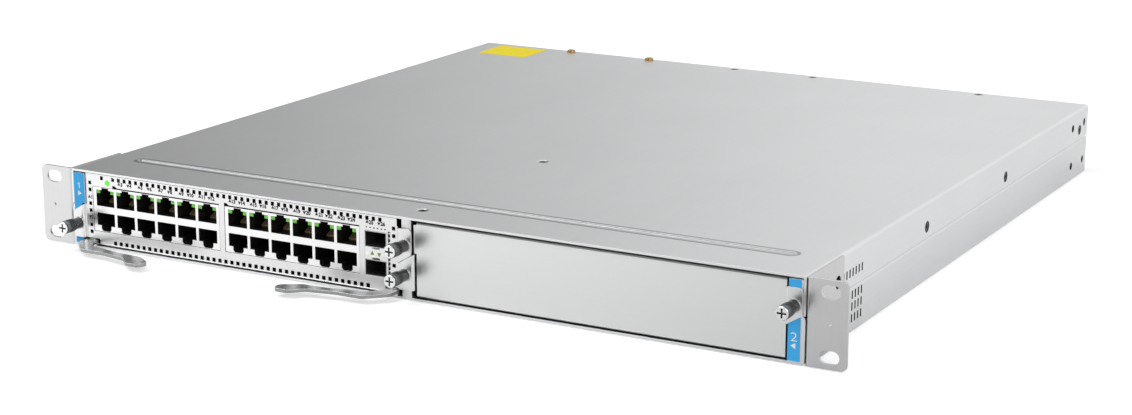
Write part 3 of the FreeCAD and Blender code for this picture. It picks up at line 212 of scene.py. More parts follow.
class STAGE_PG_settings(bpy.types.PropertyGroup):
    """Camera and light levels."""

    lens: FloatProperty(
        name="Lens", description="Focal length in millimetres on a 36 mm sensor", default=73.51
    )
    world: FloatProperty(name="Room light", description="Strength of the even light", default=0.66)
    key: FloatProperty(
        name="Key light", description="Power of the large upper left light in watts", default=35.0
    )
    card_dark: FloatProperty(
        name="Card, dark end", description="Strength of the back card at its left", default=0.13
    )
    card_light: FloatProperty(
        name="Card, light end", description="Strength of the back card at its right", default=0.86
    )
    front_dark: FloatProperty(
        name="Front card, dark end", description="Strength of the front card at its right", default=0.2
    )
    floor_glow: FloatProperty(
        name="Floor lift", description="How far the floor is lifted towards white", default=0.5
    )
    floor_shine: FloatProperty(
        name="Floor in the metal", description="The lift that the metal sees at the left", default=0.55
    )


# Colours and shader nodes

def linear(hex_colour):
    """Linear colour with alpha from an sRGB hex string."""
    parts = [int(hex_colour[i : i + 2], 16) / 255 for i in (0, 2, 4)]
    return tuple(c / 12.92 if c <= 0.04045 else ((c + 0.055) / 1.055) ** 2.4 for c in parts) + (1.0,)


def shade(colour, factor):
    """A colour made lighter or darker by a factor."""
    return tuple(min(1.0, c * factor) for c in colour[:3]) + (1.0,)


def grey(level):
    """Even grey of a linear level."""
    return (level, level, level, 1.0)


def feed(node, inputs):
    """Set a node's inputs, each to a value, to another socket or to the first output of a node."""
    for key, value in inputs.items():
        if isinstance(value, bpy.types.Node):
            value = value.outputs[0]
        if isinstance(value, bpy.types.NodeSocket):
            node.id_data.links.new(value, node.inputs[key])
        else:
            node.inputs[key].default_value = value


def add(tree, kind, inputs=None, stops=(), **settings):
    """Add one shader node of a kind with its settings and links; a ramp's stops are places and colours."""
    made = tree.nodes.new("ShaderNode" + kind)
    for name, value in settings.items():
        setattr(made, name, value)
    feed(made, inputs or {})
    for _ in range(len(stops) - 2):
        made.color_ramp.elements.new(0.5)
    for i, (place, colour) in enumerate(stops):
        made.color_ramp.elements[i].position = place
        made.color_ramp.elements[i].color = colour
    return made


def blank_material(name, **constants):
    """Material with its principled shader; constants are set straight on the sockets."""
    material = bpy.data.materials.new(name)
    material.use_nodes = True
    tree = material.node_tree
    shader = tree.nodes["Principled BSDF"]
    for key, value in constants.items():
        shader.inputs[key.replace("_", " ")].default_value = value
    return material, tree, shader


def object_place(tree):
    """The three object coordinates as sockets."""
    place = add(tree, "TexCoord").outputs["Object"]
    return add(tree, "SeparateXYZ", {0: place}).outputs


def within(tree, *spans):
    """Mask that is one where every value of the spans lies between its low and its high limit."""
    mask = 1.0
    for value, low, high in spans:
        limits = {0: value, 1: (low + high) / 2, 2: (high - low) / 2}
        inside = add(tree, "Math", limits, operation="COMPARE")
        mask = add(tree, "Math", {0: mask, 1: inside}, operation="MULTIPLY")
    return mask


def grain(tree, size, stretch=(1, 1, 1), detail=2.0):
    """Noise on object coordinates; size is its spacing in metres and stretch squeezes each axis."""
    place = add(tree, "TexCoord").outputs["Object"]
    mapped = add(tree, "Mapping", {"Vector": place, "Scale": stretch})
    return add(tree, "TexNoise", {"Vector": mapped, "Scale": 1 / size, "Detail": detail})


def mottled(tree, pattern, colour, dark, light, edge=0.3):
    """A colour that wanders with a pattern between a darker and a lighter tone of itself."""
    stops = ((edge, shade(colour, dark)), (1 - edge, shade(colour, light)))
    return add(tree, "ValToRGB", {"Fac": pattern}, stops)


def roughen(tree, shader, pattern, low, high, height=0.0, strength=0.2):
    """Let a pattern vary the roughness between two values, and raise a relief if it has a height."""
    limits = {"Value": pattern, "To Min": low, "To Max": high}
    feed(shader, {"Roughness": add(tree, "MapRange", limits)})
    if height:
        relief = {"Height": pattern, "Strength": strength, "Distance": height}
        feed(shader, {"Normal": add(tree, "Bump", relief)})


# Sockets of a Mix node for two colours and for the mixed one
MIX_OFF, MIX_ON, MIXED = 6, 7, 2


def choose(tree, mask, off, on, **settings):
    """Colour that goes from the first where a mask is nought to the second, or a blend, where it is one."""
    both = {0: mask, MIX_OFF: off, MIX_ON: on}
    return add(tree, "Mix", both, data_type="RGBA", **settings).outputs[MIXED]


def tone_base(material, mask, tone):
    """Multiply the base colour by a tone where a mask is one."""
    shader = material.node_tree.nodes["Principled BSDF"]
    plain = shader.inputs["Base Color"].links[0].from_socket
    feed(shader, {"Base Color": choose(material.node_tree, mask, plain, tone, blend_type="MULTIPLY")})


# Materials

def rolled_sheet(name, hex_colour, rough, stretch, spread=0.06, cloud=0.03, height=0.008 * MM):
    """Rolled sheet metal: fine lines along the rolling direction over faint clouds."""
    material, tree, shader = blank_material(name, Metallic=1.0)
    lines = grain(tree, ROLL_LINE, stretch, 3.0)
    clouds = grain(tree, ROLL_CLOUD, detail=4.0)
    both = add(tree, "Math", {0: clouds, 1: lines}, operation="ADD")
    mean = add(tree, "Math", {0: both, 1: 0.5}, operation="MULTIPLY")
    feed(shader, {"Base Color": mottled(tree, mean, linear(hex_colour), 1 - cloud, 1 + cloud)})
    roughen(tree, shader, lines, rough - spread / 2, rough + spread / 2, height, 0.25)
    return material


def chassis_sheet(name, hex_colour, rough, stretch, spread=0.06):
    """Rolled sheet of the case, with painted shade, near black, on the punched edges in its sides, where the
    wall shades them.

    An edge is what lies just inside the side face, off the seam, the bends and the two ends.
    """
    material = rolled_sheet(name, hex_colour, rough, stretch, spread)
    tree = material.node_tree
    place = object_place(tree)
    off = add(tree, "Math", {0: place["X"]}, operation="ABSOLUTE")
    skin = (off, SIDE_X - 3.03 * MM, SIDE_X - 0.03 * MM)
    edges = within(tree, skin, (place["Y"], 28 * MM, 444 * MM), (place["Z"], 3 * MM, 42 * MM))
    seam = within(tree, (place["Z"], 21.8 * MM, 25 * MM))
    clear = add(tree, "Math", {0: edges, 1: seam}, operation="SUBTRACT", use_clamp=True)
    # painted shade: the punched edges inside the side walls are darkened to near black
    tone_base(material, clear, grey(0.06))
    return material


def pressed_lid(name, hex_colour, rough):
    """Sheet of the lid with the painted shading of its bead: a painted dark crease, a bright trough, a
    fainter painted crease.

    The tone follows the distance from the bead's middle line, less than nought in front of it, so
    that the creases run round the bead's ends.
    """
    material = chassis_sheet(name, hex_colour, rough, (1, 0.015, 1), 0.08)
    tree = material.node_tree
    place = object_place(tree)
    off = add(tree, "Math", {0: place["X"]}, operation="ABSOLUTE")
    beyond = add(tree, "Math", {0: off, 1: BEAD_REACH - BEAD_HALF}, operation="SUBTRACT")
    past = add(tree, "Math", {0: beyond, 1: 0.0}, operation="MAXIMUM")
    away = add(tree, "Math", {0: place["Y"], 1: BEAD_Y}, operation="SUBTRACT")
    ray = add(tree, "CombineXYZ", {0: past, 1: away})
    span = add(tree, "VectorMath", {0: ray}, operation="LENGTH").outputs["Value"]
    side = add(tree, "Math", {0: away}, operation="SIGN")
    signed = add(tree, "Math", {0: span, 1: side}, operation="MULTIPLY")
    across = add(tree, "MapRange", {"Value": signed, "From Min": -8 * MM, "From Max": 8 * MM})
    # painted shade of the bead's creases: levels under one darken the base colour
    front_crease = ((0.17, 1.0), (0.19, 0.42), (0.29, 0.42), (0.31, 0.92))
    back_crease = ((0.69, 0.92), (0.71, 0.5), (0.8, 0.5), (0.82, 1.0))
    stops = [(at, grey(level)) for at, level in front_crease + back_crease]
    tone_base(material, 1.0, add(tree, "ValToRGB", {"Fac": across}, stops))
    return material


def plate_sheet(name, hex_colour, rough, stretch, deep, low, level, **more):
    """Plated front whose cut edges, a set depth behind its face, carry painted shade for the shade of the
    narrow gaps.

    The painted shade starts above the height low, so that it leaves out the fold at the foot of a plate.
    """
    material = rolled_sheet(name, hex_colour, rough, stretch, **more)
    tree = material.node_tree
    place = object_place(tree)
    face = PLATE_Y + 0.1 * MM
    edges = within(tree, (place["Y"], face, face + deep), (place["Z"], low, FAR))
    # painted shade: the base colour is multiplied by the level there
    tone_base(material, edges, grey(level))
    return material


def stamped_lever(name, hex_colour, rough):
    """Tumbled sheet whose stamped edge, below the top face, carries painted shade that draws it darker than
    the top.
    """
    material = rolled_sheet(name, hex_colour, rough, (1, 1, 1))
    tree = material.node_tree
    below = within(tree, (object_place(tree)["Z"], -FAR, LEVER_TOP - 0.15 * MM))
    # painted shade on the edge below the top face
    tone_base(material, below, grey(0.4))
    return material


def turned_metal(name, hex_colour, rough, glow=0.0):
    """Turned and plated metal: fine rings and a little unevenness in the shine."""
    colour = linear(hex_colour)
    material, tree, shader = blank_material(
        name, Metallic=1.0, Emission_Color=colour, Emission_Strength=glow
    )
    rings = grain(tree, TURN_RING, (1, 6, 1), 3.0)
    feed(shader, {"Base Color": mottled(tree, rings, colour, 0.86, 1.1)})
    roughen(tree, shader, rings, rough - 0.05, rough + 0.05, 0.02 * MM)
    return material


def knurled_knob(name, hex_colour, face_hex, face_y):
    """Knurled knob: a bright faced front, and behind it a barrel drawn much darker, painted shade for the
    knurl's shadows and dark reflections.
    """
    material, tree, shader = blank_material(name, Metallic=1.0)
    behind = within(tree, (object_place(tree)["Y"], face_y, FAR))
    knurl_grain = grain(tree, KNURL_GRAIN, (1, 6, 1), 3.0)
    # painted shade: all behind the face, barrel and cross recess, takes the darker colour
    barrel = mottled(tree, knurl_grain, linear(hex_colour), 0.85, 1.15)
    face = mottled(tree, knurl_grain, linear(face_hex), 0.96, 1.04)
    feed(shader, {"Base Color": choose(tree, behind, face, barrel)})
    roughen(tree, shader, knurl_grain, 0.2, 0.32)
    return material


def moulded(name, hex_colour, rough, size=NYLON_GRAIN):
    """Moulded or coated plastic: a faint grain of a spacing in metres and a soft sheen."""
    material, tree, shader = blank_material(name)
    fine = grain(tree, size)
    feed(shader, {"Base Color": mottled(tree, fine, linear(hex_colour), 0.88, 1.1, 0.2)})
    roughen(tree, shader, fine, rough - 0.05, rough + 0.07, 0.02 * MM, 0.15)
    return material


def screen_ink(name, hex_colour):
    """Screen printed ink: flat, with the faint mottling of the mesh it was pressed through."""
    return moulded(name, hex_colour, 0.6, INK_MESH)


def printed_film(name, hex_colour, gloss=0.25):
    """Printed polyester film: even colour under a thin clear layer with slight orange peel."""
    material, tree, shader = blank_material(name, Specular_IOR_Level=gloss)
    peel = grain(tree, FILM_PEEL)
    feed(shader, {"Base Color": mottled(tree, peel, linear(hex_colour), 0.94, 1.05, 0.2)})
    roughen(tree, shader, peel, 0.38, 0.5)
    return material


def light_guide(name, hex_colour, glow, front_y):
    """Clear acrylic guide: pale, with its colour and light only at the face where the light comes out."""
    colour = linear(hex_colour)
    material, tree, shader = blank_material(name, Emission_Color=colour)
    ahead = within(tree, (object_place(tree)["Y"], -FAR, front_y))
    flow = grain(tree, ACRYLIC_FLOW)
    lit_end = mottled(tree, flow, colour, 0.8, 1.15, 0.2)
    pale = add(tree, "ValToRGB", {"Fac": flow}, ((0.2, linear("AEB8B1")), (0.8, linear("CBD3CD"))))
    feed(shader, {
        "Base Color": choose(tree, ahead, pale, lit_end),
        "Emission Strength": add(tree, "Math", {0: ahead, 1: glow}, operation="MULTIPLY"),
    })
    roughen(tree, shader, flow, 0.12, 0.22)
    return material


def solder_mask(name):
    """Circuit board: green solder mask over copper areas that show as slightly lighter fields."""
    material, tree, shader = blank_material(name, Coat_Weight=0.3, Coat_Roughness=0.2)
    place = add(tree, "TexCoord").outputs["Object"]
    cells = {"Vector": place, "Scale": 1 / COPPER_FIELD}
    fields = add(tree, "TexVoronoi", cells, distance="CHEBYCHEV")
    stops = ((0.0, linear("0E3A20")), (1.0, linear("1F6A3A")))
    feed(shader, {"Base Color": add(tree, "ValToRGB", {"Fac": fields}, stops)})
    roughen(tree, shader, grain(tree, MASK_RIPPLE), 0.3, 0.42)
    return material


# The finish of each material slot: its name, colour and roughness, and how its sheet was rolled.
# A stretch far under one lays the lines along that axis
MAKERS = {
    # zinc dipped sheet: a soft grey sheen that tells the case from the brighter plated fronts, with painted
    # shade on its punched edges
    "zinc_steel": lambda look: chassis_sheet("Galvanised steel sheet", "DDDEDF", 0.34, (1, 0.02, 1)),
    # the lid is the widest surface, so its long rolling lines carry the look; its bead is painted shading
    "lid_steel": lambda look: pressed_lid("Galvanised lid sheet", "E2E3E4", 0.34),
    # nickel on folded sheet: a darker grey than the case, with lines up the ear
    "ear_steel": lambda look: rolled_sheet("Nickel plated ear", "CECECF", 0.3, (1, 1, 0.05)),
    # bright nickel with lines along the card, and painted shade, near black, in the thickness of its cut
    # edges
    "card_steel": lambda look: plate_sheet(
        "Nickel plated faceplate", "E1E1E1", 0.3, (0.02, 1, 1), deep=0.85 * MM, low=4.0 * MM, level=0.1
    ),
    # satin nickel is nearly free of lines, so the blank mirrors the studio as one slow gradient
    # behind its face the blank's edges and flanges carry painted shade, for the dark gaps round it
    "blank_steel": lambda look: plate_sheet(
        "Satin nickel blank", "E0E1E1", 0.31, (0.05, 1, 1), deep=4.2 * MM, low=0.0, level=0.25,
        spread=0.03, cloud=0.012, height=0.001 * MM,
    ),
    # tumbled steel has no direction: an even, bright top face over an edge darkened by painted shade
    "lever_steel": lambda look: stamped_lever("Tumbled steel lever", "E4E5E6", 0.28),
    # bright zinc on turned heads: small sharp glints
    "screw_steel": lambda look: turned_metal("Bright zinc screw", "D0D0D0", 0.25),
    # the lid screws are drawn near black, partly a dark finish and partly painted shade of their
    # countersinks, so that each reads as a dark dot with a lit rim
    "dark_screw": lambda look: turned_metal("Black zinc screw", "2A2A2A", 0.3),
    # nickel knob: a bright faced front, and behind it a barrel darkened by painted shade of its knurl
    "knob_steel": lambda look: knurled_knob(
        "Knurled nickel knob", "626365", "E8E8E8", KNOB_FACE_Y + 0.3 * MM
    ),
    # yellow passivated zinc: two brownish heads on the grey lid
    "bronze_screw": lambda look: turned_metal("Yellow passivated screw", "A98A5C", 0.3),
    # tin is the whitest metal here and frames the dark ports
    "shield_tin": lambda look: rolled_sheet("Tin plated shield", "EFEFEF", 0.28, (0.05, 1, 1)),
    # nickel silver is darker than the plate round it, so the cages stand off from it
    "cage_tin": lambda look: rolled_sheet("Nickel silver cage", "C6C6C6", 0.3, (1, 0.05, 1)),
    # bare spring strip: a darker grey that shows between the plate and the cages
    "gasket_spring": lambda look: rolled_sheet("Spring strip", "A8A8A8", 0.25, (1, 1, 0.1)),
    # film on the ears: flat clear blue with a weak shine
    "blue_label": lambda look: printed_film("Blue printed film", look.blue),
    # film on the lid, seen at a low angle, so it has almost no shine that would wash it out
    "yellow_label": lambda look: printed_film("Yellow printed film", look.yellow, 0.05),
    # nylon of the jacks and connectors: deep black with a soft sheen
    "black_moulding": lambda look: moulded("Black glass-filled nylon", "151515", 0.4),
    # powder coat: coarser and duller than the nylon
    "black_handle": lambda look: moulded("Black powder coat", "181818", 0.5, POWDER_GRAIN),
    # thin gold deep in the ports, with a trace of glow in place of the light that reaches it there
    "gold_contact": lambda look: turned_metal("Gold flashed contact", "C4B188", 0.3, glow=0.05),
    # acrylic pipes of the port lights: green dots with a slight glow
    "green_light": lambda look: light_guide(
        "Green light guide", "6CBB4A", glow=0.15, front_y=PLATE_Y + 1.0 * MM
    ),
    # the status pipe is lit: a brighter and more yellow green
    "status_light": lambda look: light_guide("Lit green guide", "50E020", glow=0.6, front_y=PLATE_Y),
    # white acrylic between the cages: paler than any metal beside it; its glow is painted light, for no lamp
    # lights it
    "white_bar": lambda look: light_guide(
        "White acrylic bar", "F4F5F2", glow=0.16, front_y=PLATE_Y + 2.0 * MM
    ),
    # boards: a dark glossy green, seen when the card is out
    "green_board": lambda look: solder_mask("Green solder mask"),
    # epoxy packages: a matt grey black
    "chip_black": lambda look: moulded("Black moulded package", "1B1B1B", 0.55),
    # extruded fins: pale, with lines along their length
    "sink_aluminium": lambda look: rolled_sheet("Extruded aluminium", "CFD0D1", 0.4, (1, 0.05, 1)),
    # fan plastic: black with a soft sheen on the blades
    "fan_black": lambda look: moulded("Black fan plastic", "161616", 0.45),
    # blue marks the latches that a hand presses at the rear
    "latch_plastic": lambda look: moulded("Blue latch plastic", "2B62A8", 0.4),
}


finishes = {}


def finish(slot):
    """The material of a slot, made once."""
    if slot not in finishes:
        finishes[slot] = MAKERS[slot](bpy.context.scene.finish_settings)
    return finishes[slot]


# Meshes

def dress(piece, slot):
    """Give a piece the finish of a slot."""
    piece.data.materials.clear()
    piece.data.materials.append(finish(slot))


def softened(name, width, segments=2, angle=35.0):
    """Stand-in for a CAD node: its merged copy with rounded edges, or only even shading for no width."""
    mesh = frame["nodes"][name].data.copy()
    work = bmesh.new()
    work.from_mesh(mesh)
    bmesh.ops.remove_doubles(work, verts=work.verts, dist=0.002 * MM)
    bmesh.ops.dissolve_limit(work, angle_limit=math.radians(0.3), verts=work.verts, edges=work.edges)
    work.to_mesh(mesh)
    work.free()
    mesh.polygons.foreach_set("use_smooth", np.ones(len(mesh.polygons), bool))
    if name in LOCK_NODES:
        place_lock_holes(mesh)
    if name == "top_sticker":
        fit_sticker(mesh)
    piece = bpy.data.objects.new(name + "_dressed", mesh)
    bpy.context.scene.collection.objects.link(piece)
    if width:
        bevel = piece.modifiers.new("Edges", "BEVEL")
        bevel.width = width
        bevel.segments = segments
        bevel.limit_method = "ANGLE"
        bevel.angle_limit = math.radians(angle)
        bevel.use_clamp_overlap = False
    else:
        mesh.set_sharp_from_angle(angle=math.radians(angle))
    even = piece.modifiers.new("Even shading", "WEIGHTED_NORMAL")
    even.keep_sharp = not width
    dress(piece, slot_of(name))
    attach(piece, body_of(name))
    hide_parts(name)
    return piece


def place_lock_holes(mesh):
    """Draw the lock hole of an ear a little smaller and higher, as the photograph has it."""
    places = read_places(mesh)
    reach = np.hypot(*(places[:, 1:] - LOCK_OLD).T)
    near = (reach < LOCK_R + 0.05 * MM) & (abs(places[:, 0]) > LOCK_SIDE)
    places[near, 1:] = LOCK_NEW + (places[near, 1:] - LOCK_OLD) * LOCK_SHRINK
    write_places(mesh, places)


def fit_sticker(mesh):
    """Draw the sticker a little narrower and deeper, and nearer the side, as the photograph has it."""
    places = read_places(mesh)
    middle = (places.min(axis=0) + places.max(axis=0)) / 2
    write_places(mesh, middle + np.array(STICKER_MOVE) + (places - middle) * np.array(STICKER_SIZE))


def piece_from(name, points, faces, slot, body):
    """Flat shaded piece with a finish, on a body, from points and faces."""
    mesh = bpy.data.meshes.new(name)
    mesh.from_pydata(points.tolist(), [], faces)
    piece = bpy.data.objects.new(name, mesh)
    bpy.context.scene.collection.objects.link(piece)
    dress(piece, slot)
    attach(piece, body)
    return piece


def grid_piece(name, points, slot, body):
    """Piece from grids of points, strips by rows by columns by three, each closed round its columns.

    Neighbouring points of a grid are joined into quads, and the last column is joined to the first.
    """
    strips, rows, columns = points.shape[:3]
    index = np.arange(strips * rows * columns).reshape(strips, rows, columns)
    index = np.concatenate([index, index[:, :, :1]], axis=2)
    quads = [index[:, :-1, :-1], index[:, :-1, 1:], index[:, 1:, 1:], index[:, 1:, :-1]]
    quads = np.stack(quads, axis=-1).reshape(-1, 4)
    return piece_from(name, points.reshape(-1, 3), quads.tolist(), slot, body)


def flat_strips(path, middles, base, side, width, thick):
    """Strips side by side: a path of depth and height carries a flat section, repeated at each middle.

    The section is a rectangle square to the path; side is one for heights counted upwards from the
    base and less than nought for heights counted down from it.
    """
    along = np.gradient(path, axis=0)
    along /= np.linalg.norm(along, axis=1, keepdims=True)
    across = np.stack([-along[:, 1], along[:, 0]], axis=1)
    u = np.array([-1, 1, 1, -1]) * width / 2
    v = np.array([-1, -1, 1, 1]) * thick / 2
    spine = path[:, None, :] + across[:, None, :] * v[None, :, None]
    points = np.empty((len(middles), len(path), 4, 3))
    points[..., 0] = middles[:, None, None] + u
    points[..., 1] = spine[None, :, :, 0]
    points[..., 2] = base + side * spine[None, :, :, 1]
    return points if side < 0 else points[:, :, ::-1]


# Finishes of the CAD nodes

# Nodes with deburred or moulded edges, and round ones that only need even shading
SOFT_NODES = (
    "base_tray", "top_cover", "rack_ear_left", "rack_ear_right", "centre_post", "rear_panel",
    "card_tray", "blank_panel", "ejector_lever_left", "ejector_lever_right", "card_screw_left",
    "card_screw_right", "blank_screw_left", "blank_screw_right", "card_ferrules", "blank_ferrules",
    "lock_screws", "ear_screws", "psu_case_1", "psu_case_2", "psu_inlet_1", "psu_inlet_2",
    "psu_latch_1", "psu_latch_2", "fan_tray", "fan_tray_screws", "lever_pins", "sfp_light_bar",
)
ROUND_NODES = (
    "psu_handle_1", "psu_handle_2", "fan_tray_handle", "fan_rotor_1", "fan_rotor_2", "fan_rotor_3",
    "fan_frames", "cover_screws", "status_light_pipe", "top_sticker",
)


class CHASSIS_OT_finish_nodes(bpy.types.Operator):
    """Give every CAD node its finish, and the seen ones rounded edges"""

    bl_idname = "chassis.finish_nodes"
    bl_label = "Finishes and edges"

    def execute(self, context):
        edge = context.scene.finish_settings.edge
        for name, node in frame["nodes"].items():
            if name in SOFT_NODES:
                softened(name, edge)
            elif name in ROUND_NODES:
                piece = softened(name, 0.0)
                # the lid screws take the near black finish, partly painted shade of their countersinks
                if name == "cover_screws":
                    piece.data.materials[0] = finish("dark_screw")
            else:
                node.data.materials.clear()
                node.data.materials.append(finish(slot_of(name)))
        return {"FINISHED"}


# Contact wires

PORT_MARGIN = 0.2 * MM  # a stated opening keeps this far from the walls of its port
WIRE_SLOPE = 0.97  # share of the way back that a wire's slope covers


class CHASSIS_OT_port_wires(bpy.types.Operator):
    """Sprung contact wires in every port"""

    bl_idname = "chassis.port_wires"
    bl_label = "Contact wires"

    def execute(self, context):
        settings = context.scene.wire_settings
        width, thick = settings.width, settings.thick
        low, high = corner_boxes("jack_contacts")
        path = wire_path(low[1], high[1], wire_rise(low[2], high[2]), thick)
        offsets = (np.arange(settings.count) - (settings.count - 1) / 2) * settings.pitch
        strips = []
        for box in PORTS:
            upper = box[:, 2].mean() > (low[2] + high[2]) / 2
            base = low_side(box) if upper else high_side(box)
            middles = box[:, 0].mean() + offsets
            strips.append(flat_strips(path, middles, base, 1 if upper else -1, width, thick))
        piece = grid_piece("jack_wires", np.concatenate(strips), "gold_contact", body_of("jack_contacts"))
        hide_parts("jack_contacts")
        return {"FINISHED"}


def low_side(box):
    """Lower wall of an upper port."""
    return box[0, 2] - PORT_MARGIN


def high_side(box):
    """Upper wall of a lower port."""
    return box[1, 2] + PORT_MARGIN


def wire_rise(low_z, high_z):
    """How far the wires rise: the two rows stand back to back across a rib."""
    upper, lower = PORTS[0], PORTS[1]
    rib = low_side(upper) - high_side(lower)
    return (high_z - low_z - rib) / 2


def wire_path(front_y, back_y, rise, thick, steps=7):
    """Middle line of one wire, depth and height: forwards along the wall, round a bend, back up a slope.

    The bend is an arc about a point one radius above the wall, from straight down to square on the slope.
    """
    radius = 2 * thick
    slope = math.atan2(rise, back_y - front_y)
    turn = np.linspace(-math.pi / 2, -1.5 * math.pi + slope, steps)
    centre = np.array([front_y + radius + thick, radius + thick / 2])
    bend = centre + radius * np.stack([np.cos(turn), np.sin(turn)], axis=1)
    run = np.array([[back_y - thick, thick / 2]])
    far = (back_y - thick - bend[-1, 0]) * WIRE_SLOPE
    tip = bend[-1] + np.array([[far, far * math.tan(slope)]])
    return np.vstack([run, bend, tip])


# Gasket fingers

FINGER_WIDTH = 1.2 * MM
FINGER_THICK = 0.15 * MM
FINGER_BACK = 0.2 * MM  # how far behind the plate's face a finger is foremost
FINGER_SHARE = 0.4  # half a finger's length over the pitch


class CHASSIS_OT_gasket_fingers(bpy.types.Operator):
    """Sprung fingers that bulge through the slot beside the cages"""

    bl_idname = "chassis.gasket_fingers"
    bl_label = "Gasket fingers"

    def execute(self, context):
        settings = context.scene.wire_settings
        low, high = corner_boxes("sfp_gasket")
        path = finger_path(PLATE_Y + FINGER_BACK, settings)
        count = int((high[2] - low[2]) / settings.finger)
        heights = low[2] + (np.arange(count) + 0.5) * (high[2] - low[2]) / count
        middle = np.array([(low[0] + high[0]) / 2])
        strips = [flat_strips(path, middle, z, 1, FINGER_WIDTH, FINGER_THICK) for z in heights]
        grid_piece("gasket_fingers", np.concatenate(strips), "gasket_spring", body_of("sfp_gasket"))
        return {"FINISHED"}


def finger_path(front_y, settings, steps=9):
    """Arch of one finger, depth and height: a parabola that is foremost at its middle."""
    t = np.linspace(-1, 1, steps)
    return np.stack([front_y + settings.bulge * t**2, FINGER_SHARE * settings.finger * t], axis=1)


# Knurls

KNOBS = ("card_screw_left", "card_screw_right", "blank_screw_left", "blank_screw_right")
RIDGE_STEPS = 6  # points round one ridge

# Rings of a knurl: how far each lies behind the knob's face, and how much of a ridge stands there.
# Less than nought lies that share under the barrel, so that the sleeve's ends sink into it
KNURL_DEPTHS = np.array([0.7, 1.1, 1.1, 7.3, 7.3, 7.9]) * MM
KNURL_FADES = np.array([-0.4, -0.1, 1.0, 1.0, -0.1, -0.4])


class CHASSIS_OT_knob_knurls(bpy.types.Operator):
    """Straight knurl round the thick front half of each captive screw"""

    bl_idname = "chassis.knob_knurls"
    bl_label = "Knob knurls"

    def execute(self, context):
        settings = context.scene.knurl_settings
        for name in KNOBS:
            low, high = corner_boxes(name)
            middle, radius = (low + high) / 2, (high[0] - low[0]) / 2
            points = knurl_rings(middle, radius, low[1], settings)
            piece = grid_piece(name + "_knurl", points, "knob_steel", body_of(name))
            piece.data.polygons.foreach_set("use_smooth", np.ones(len(piece.data.polygons), bool))
        return {"FINISHED"}


def knurl_rings(middle, radius, front, settings):
    """Rings whose radius rises and falls with the angle: ridges of a cosine wave, faded at both ends."""
    turn = np.linspace(0, 2 * math.pi, settings.teeth * RIDGE_STEPS, endpoint=False)
    wave = 0.5 - 0.5 * np.cos(settings.teeth * turn)
    fade = KNURL_FADES[:, None]
    height = radius + settings.depth * np.where(fade > 0, wave[None, :] * fade, fade)
    points = np.empty((1, len(KNURL_DEPTHS), len(turn), 3))
    points[0, :, :, 0] = middle[0] + height * np.cos(turn)
    points[0, :, :, 1] = (front + KNURL_DEPTHS)[:, None]
    points[0, :, :, 2] = middle[2] + height * np.sin(turn)
    return points


# Printed marks

NUMBERS_Z = 38.0 * MM  # the row of numbers over the ports
NUMBER_OFF = 3.1 * MM  # the two numbers of a column stand this far from its middle
FIRST_X = -208.0 * MM  # the first column's numbers stand beside it
FIRST_Z = (28.6 * MM, 17.4 * MM)
CAGE_NUMBER_OFF = 3.6 * MM
CAGE_ARROW_OFF = 2.1 * MM
CAGE_ARROW_SIZE = 1.2  # over a port arrow
SLOT_ARROW_SIZE = 1.4
SLOT_ARROW_DROP = 4.4 * MM  # under the slot number
DIGIT_WIDTH = 0.6  # over its height
TIP_REACH = 0.58  # from a triangle's middle to its tip, over its side
DOWN, UP = -90, 90


class CHASSIS_OT_printed_marks(bpy.types.Operator):
    """Port numbers, arrows and slot numbers"""

    bl_idname = "chassis.printed_marks"
    bl_label = "Printed marks"

    def execute(self, context):
        settings = context.scene.mark_settings
        colours = context.scene.finish_settings
        finishes["ink"] = screen_ink("Black screen ink", colours.ink)
        finishes["white ink"] = screen_ink("White screen ink", "F4F6F8")
        finishes["olive ink"] = screen_ink("Olive screen ink", colours.olive)
        printed("port_marks", port_numbers(settings), PLATE_Y, "ink", "card_tray", settings)
        low, high = corner_boxes("sfp_light_bar")
        middle, size = (low[2] + high[2]) / 2, CAGE_ARROW_SIZE * settings.arrow
        pair = [arrow(CAGE_MID + side * CAGE_ARROW_OFF, middle, size, DOWN * side) for side in (-1, 1)]
        printed("cage_arrows", pair, low[1], "olive ink", "sfp_light_bar", settings)
        slot_mark("left", slot_one, -215.0 * MM, 34.5 * MM, 0, settings)
        slot_mark("right", slot_two, 214.5 * MM, 13.4 * MM, 180, settings)
        return {"FINISHED"}


def slot_mark(side, digit, x, z, turn, settings):
    """Number of a slot on its blue label, over an arrow that points to the slot."""
    label = "slot_label_" + side
    pointer = arrow(x, z - SLOT_ARROW_DROP, SLOT_ARROW_SIZE * settings.arrow, turn)
    shapes = [digit(x, z, settings.slot_digit), pointer]
    printed("slot_mark_" + side, shapes, corner_boxes(label)[0][1], "white ink", label, settings)


def port_numbers(settings):
    """Numbers and arrows of the card: beside the first column, over the others and over the cages."""
    shapes = []
    for i, box in enumerate(PORTS):
        if i < 2:
            x, z = FIRST_X, FIRST_Z[i]
        else:
            x, z = box[:, 0].mean() + (NUMBER_OFF if i % 2 else -NUMBER_OFF), NUMBERS_Z
        shapes += numbered_arrow(str(i + 1), x, z, DOWN if i % 2 else UP, settings)
    for i, off, turn in ((1, -CAGE_NUMBER_OFF, UP), (2, CAGE_NUMBER_OFF, DOWN)):
        shapes += numbered_arrow(str(len(PORTS) + i), CAGE_MID + off, NUMBERS_Z, turn, settings)
    return shapes


def numbered_arrow(word, x, z, turn, settings):
    """An arrow with its number close on the right, centred together."""
    reach = DIGIT_WIDTH * settings.digit * len(word)
    whole = settings.arrow + reach
    mark = arrow(x - whole / 2 + settings.arrow / 2, z, settings.arrow, turn)
    return [mark, figure(word, x + whole / 2 - reach / 2, z, settings.digit, settings.weight)]


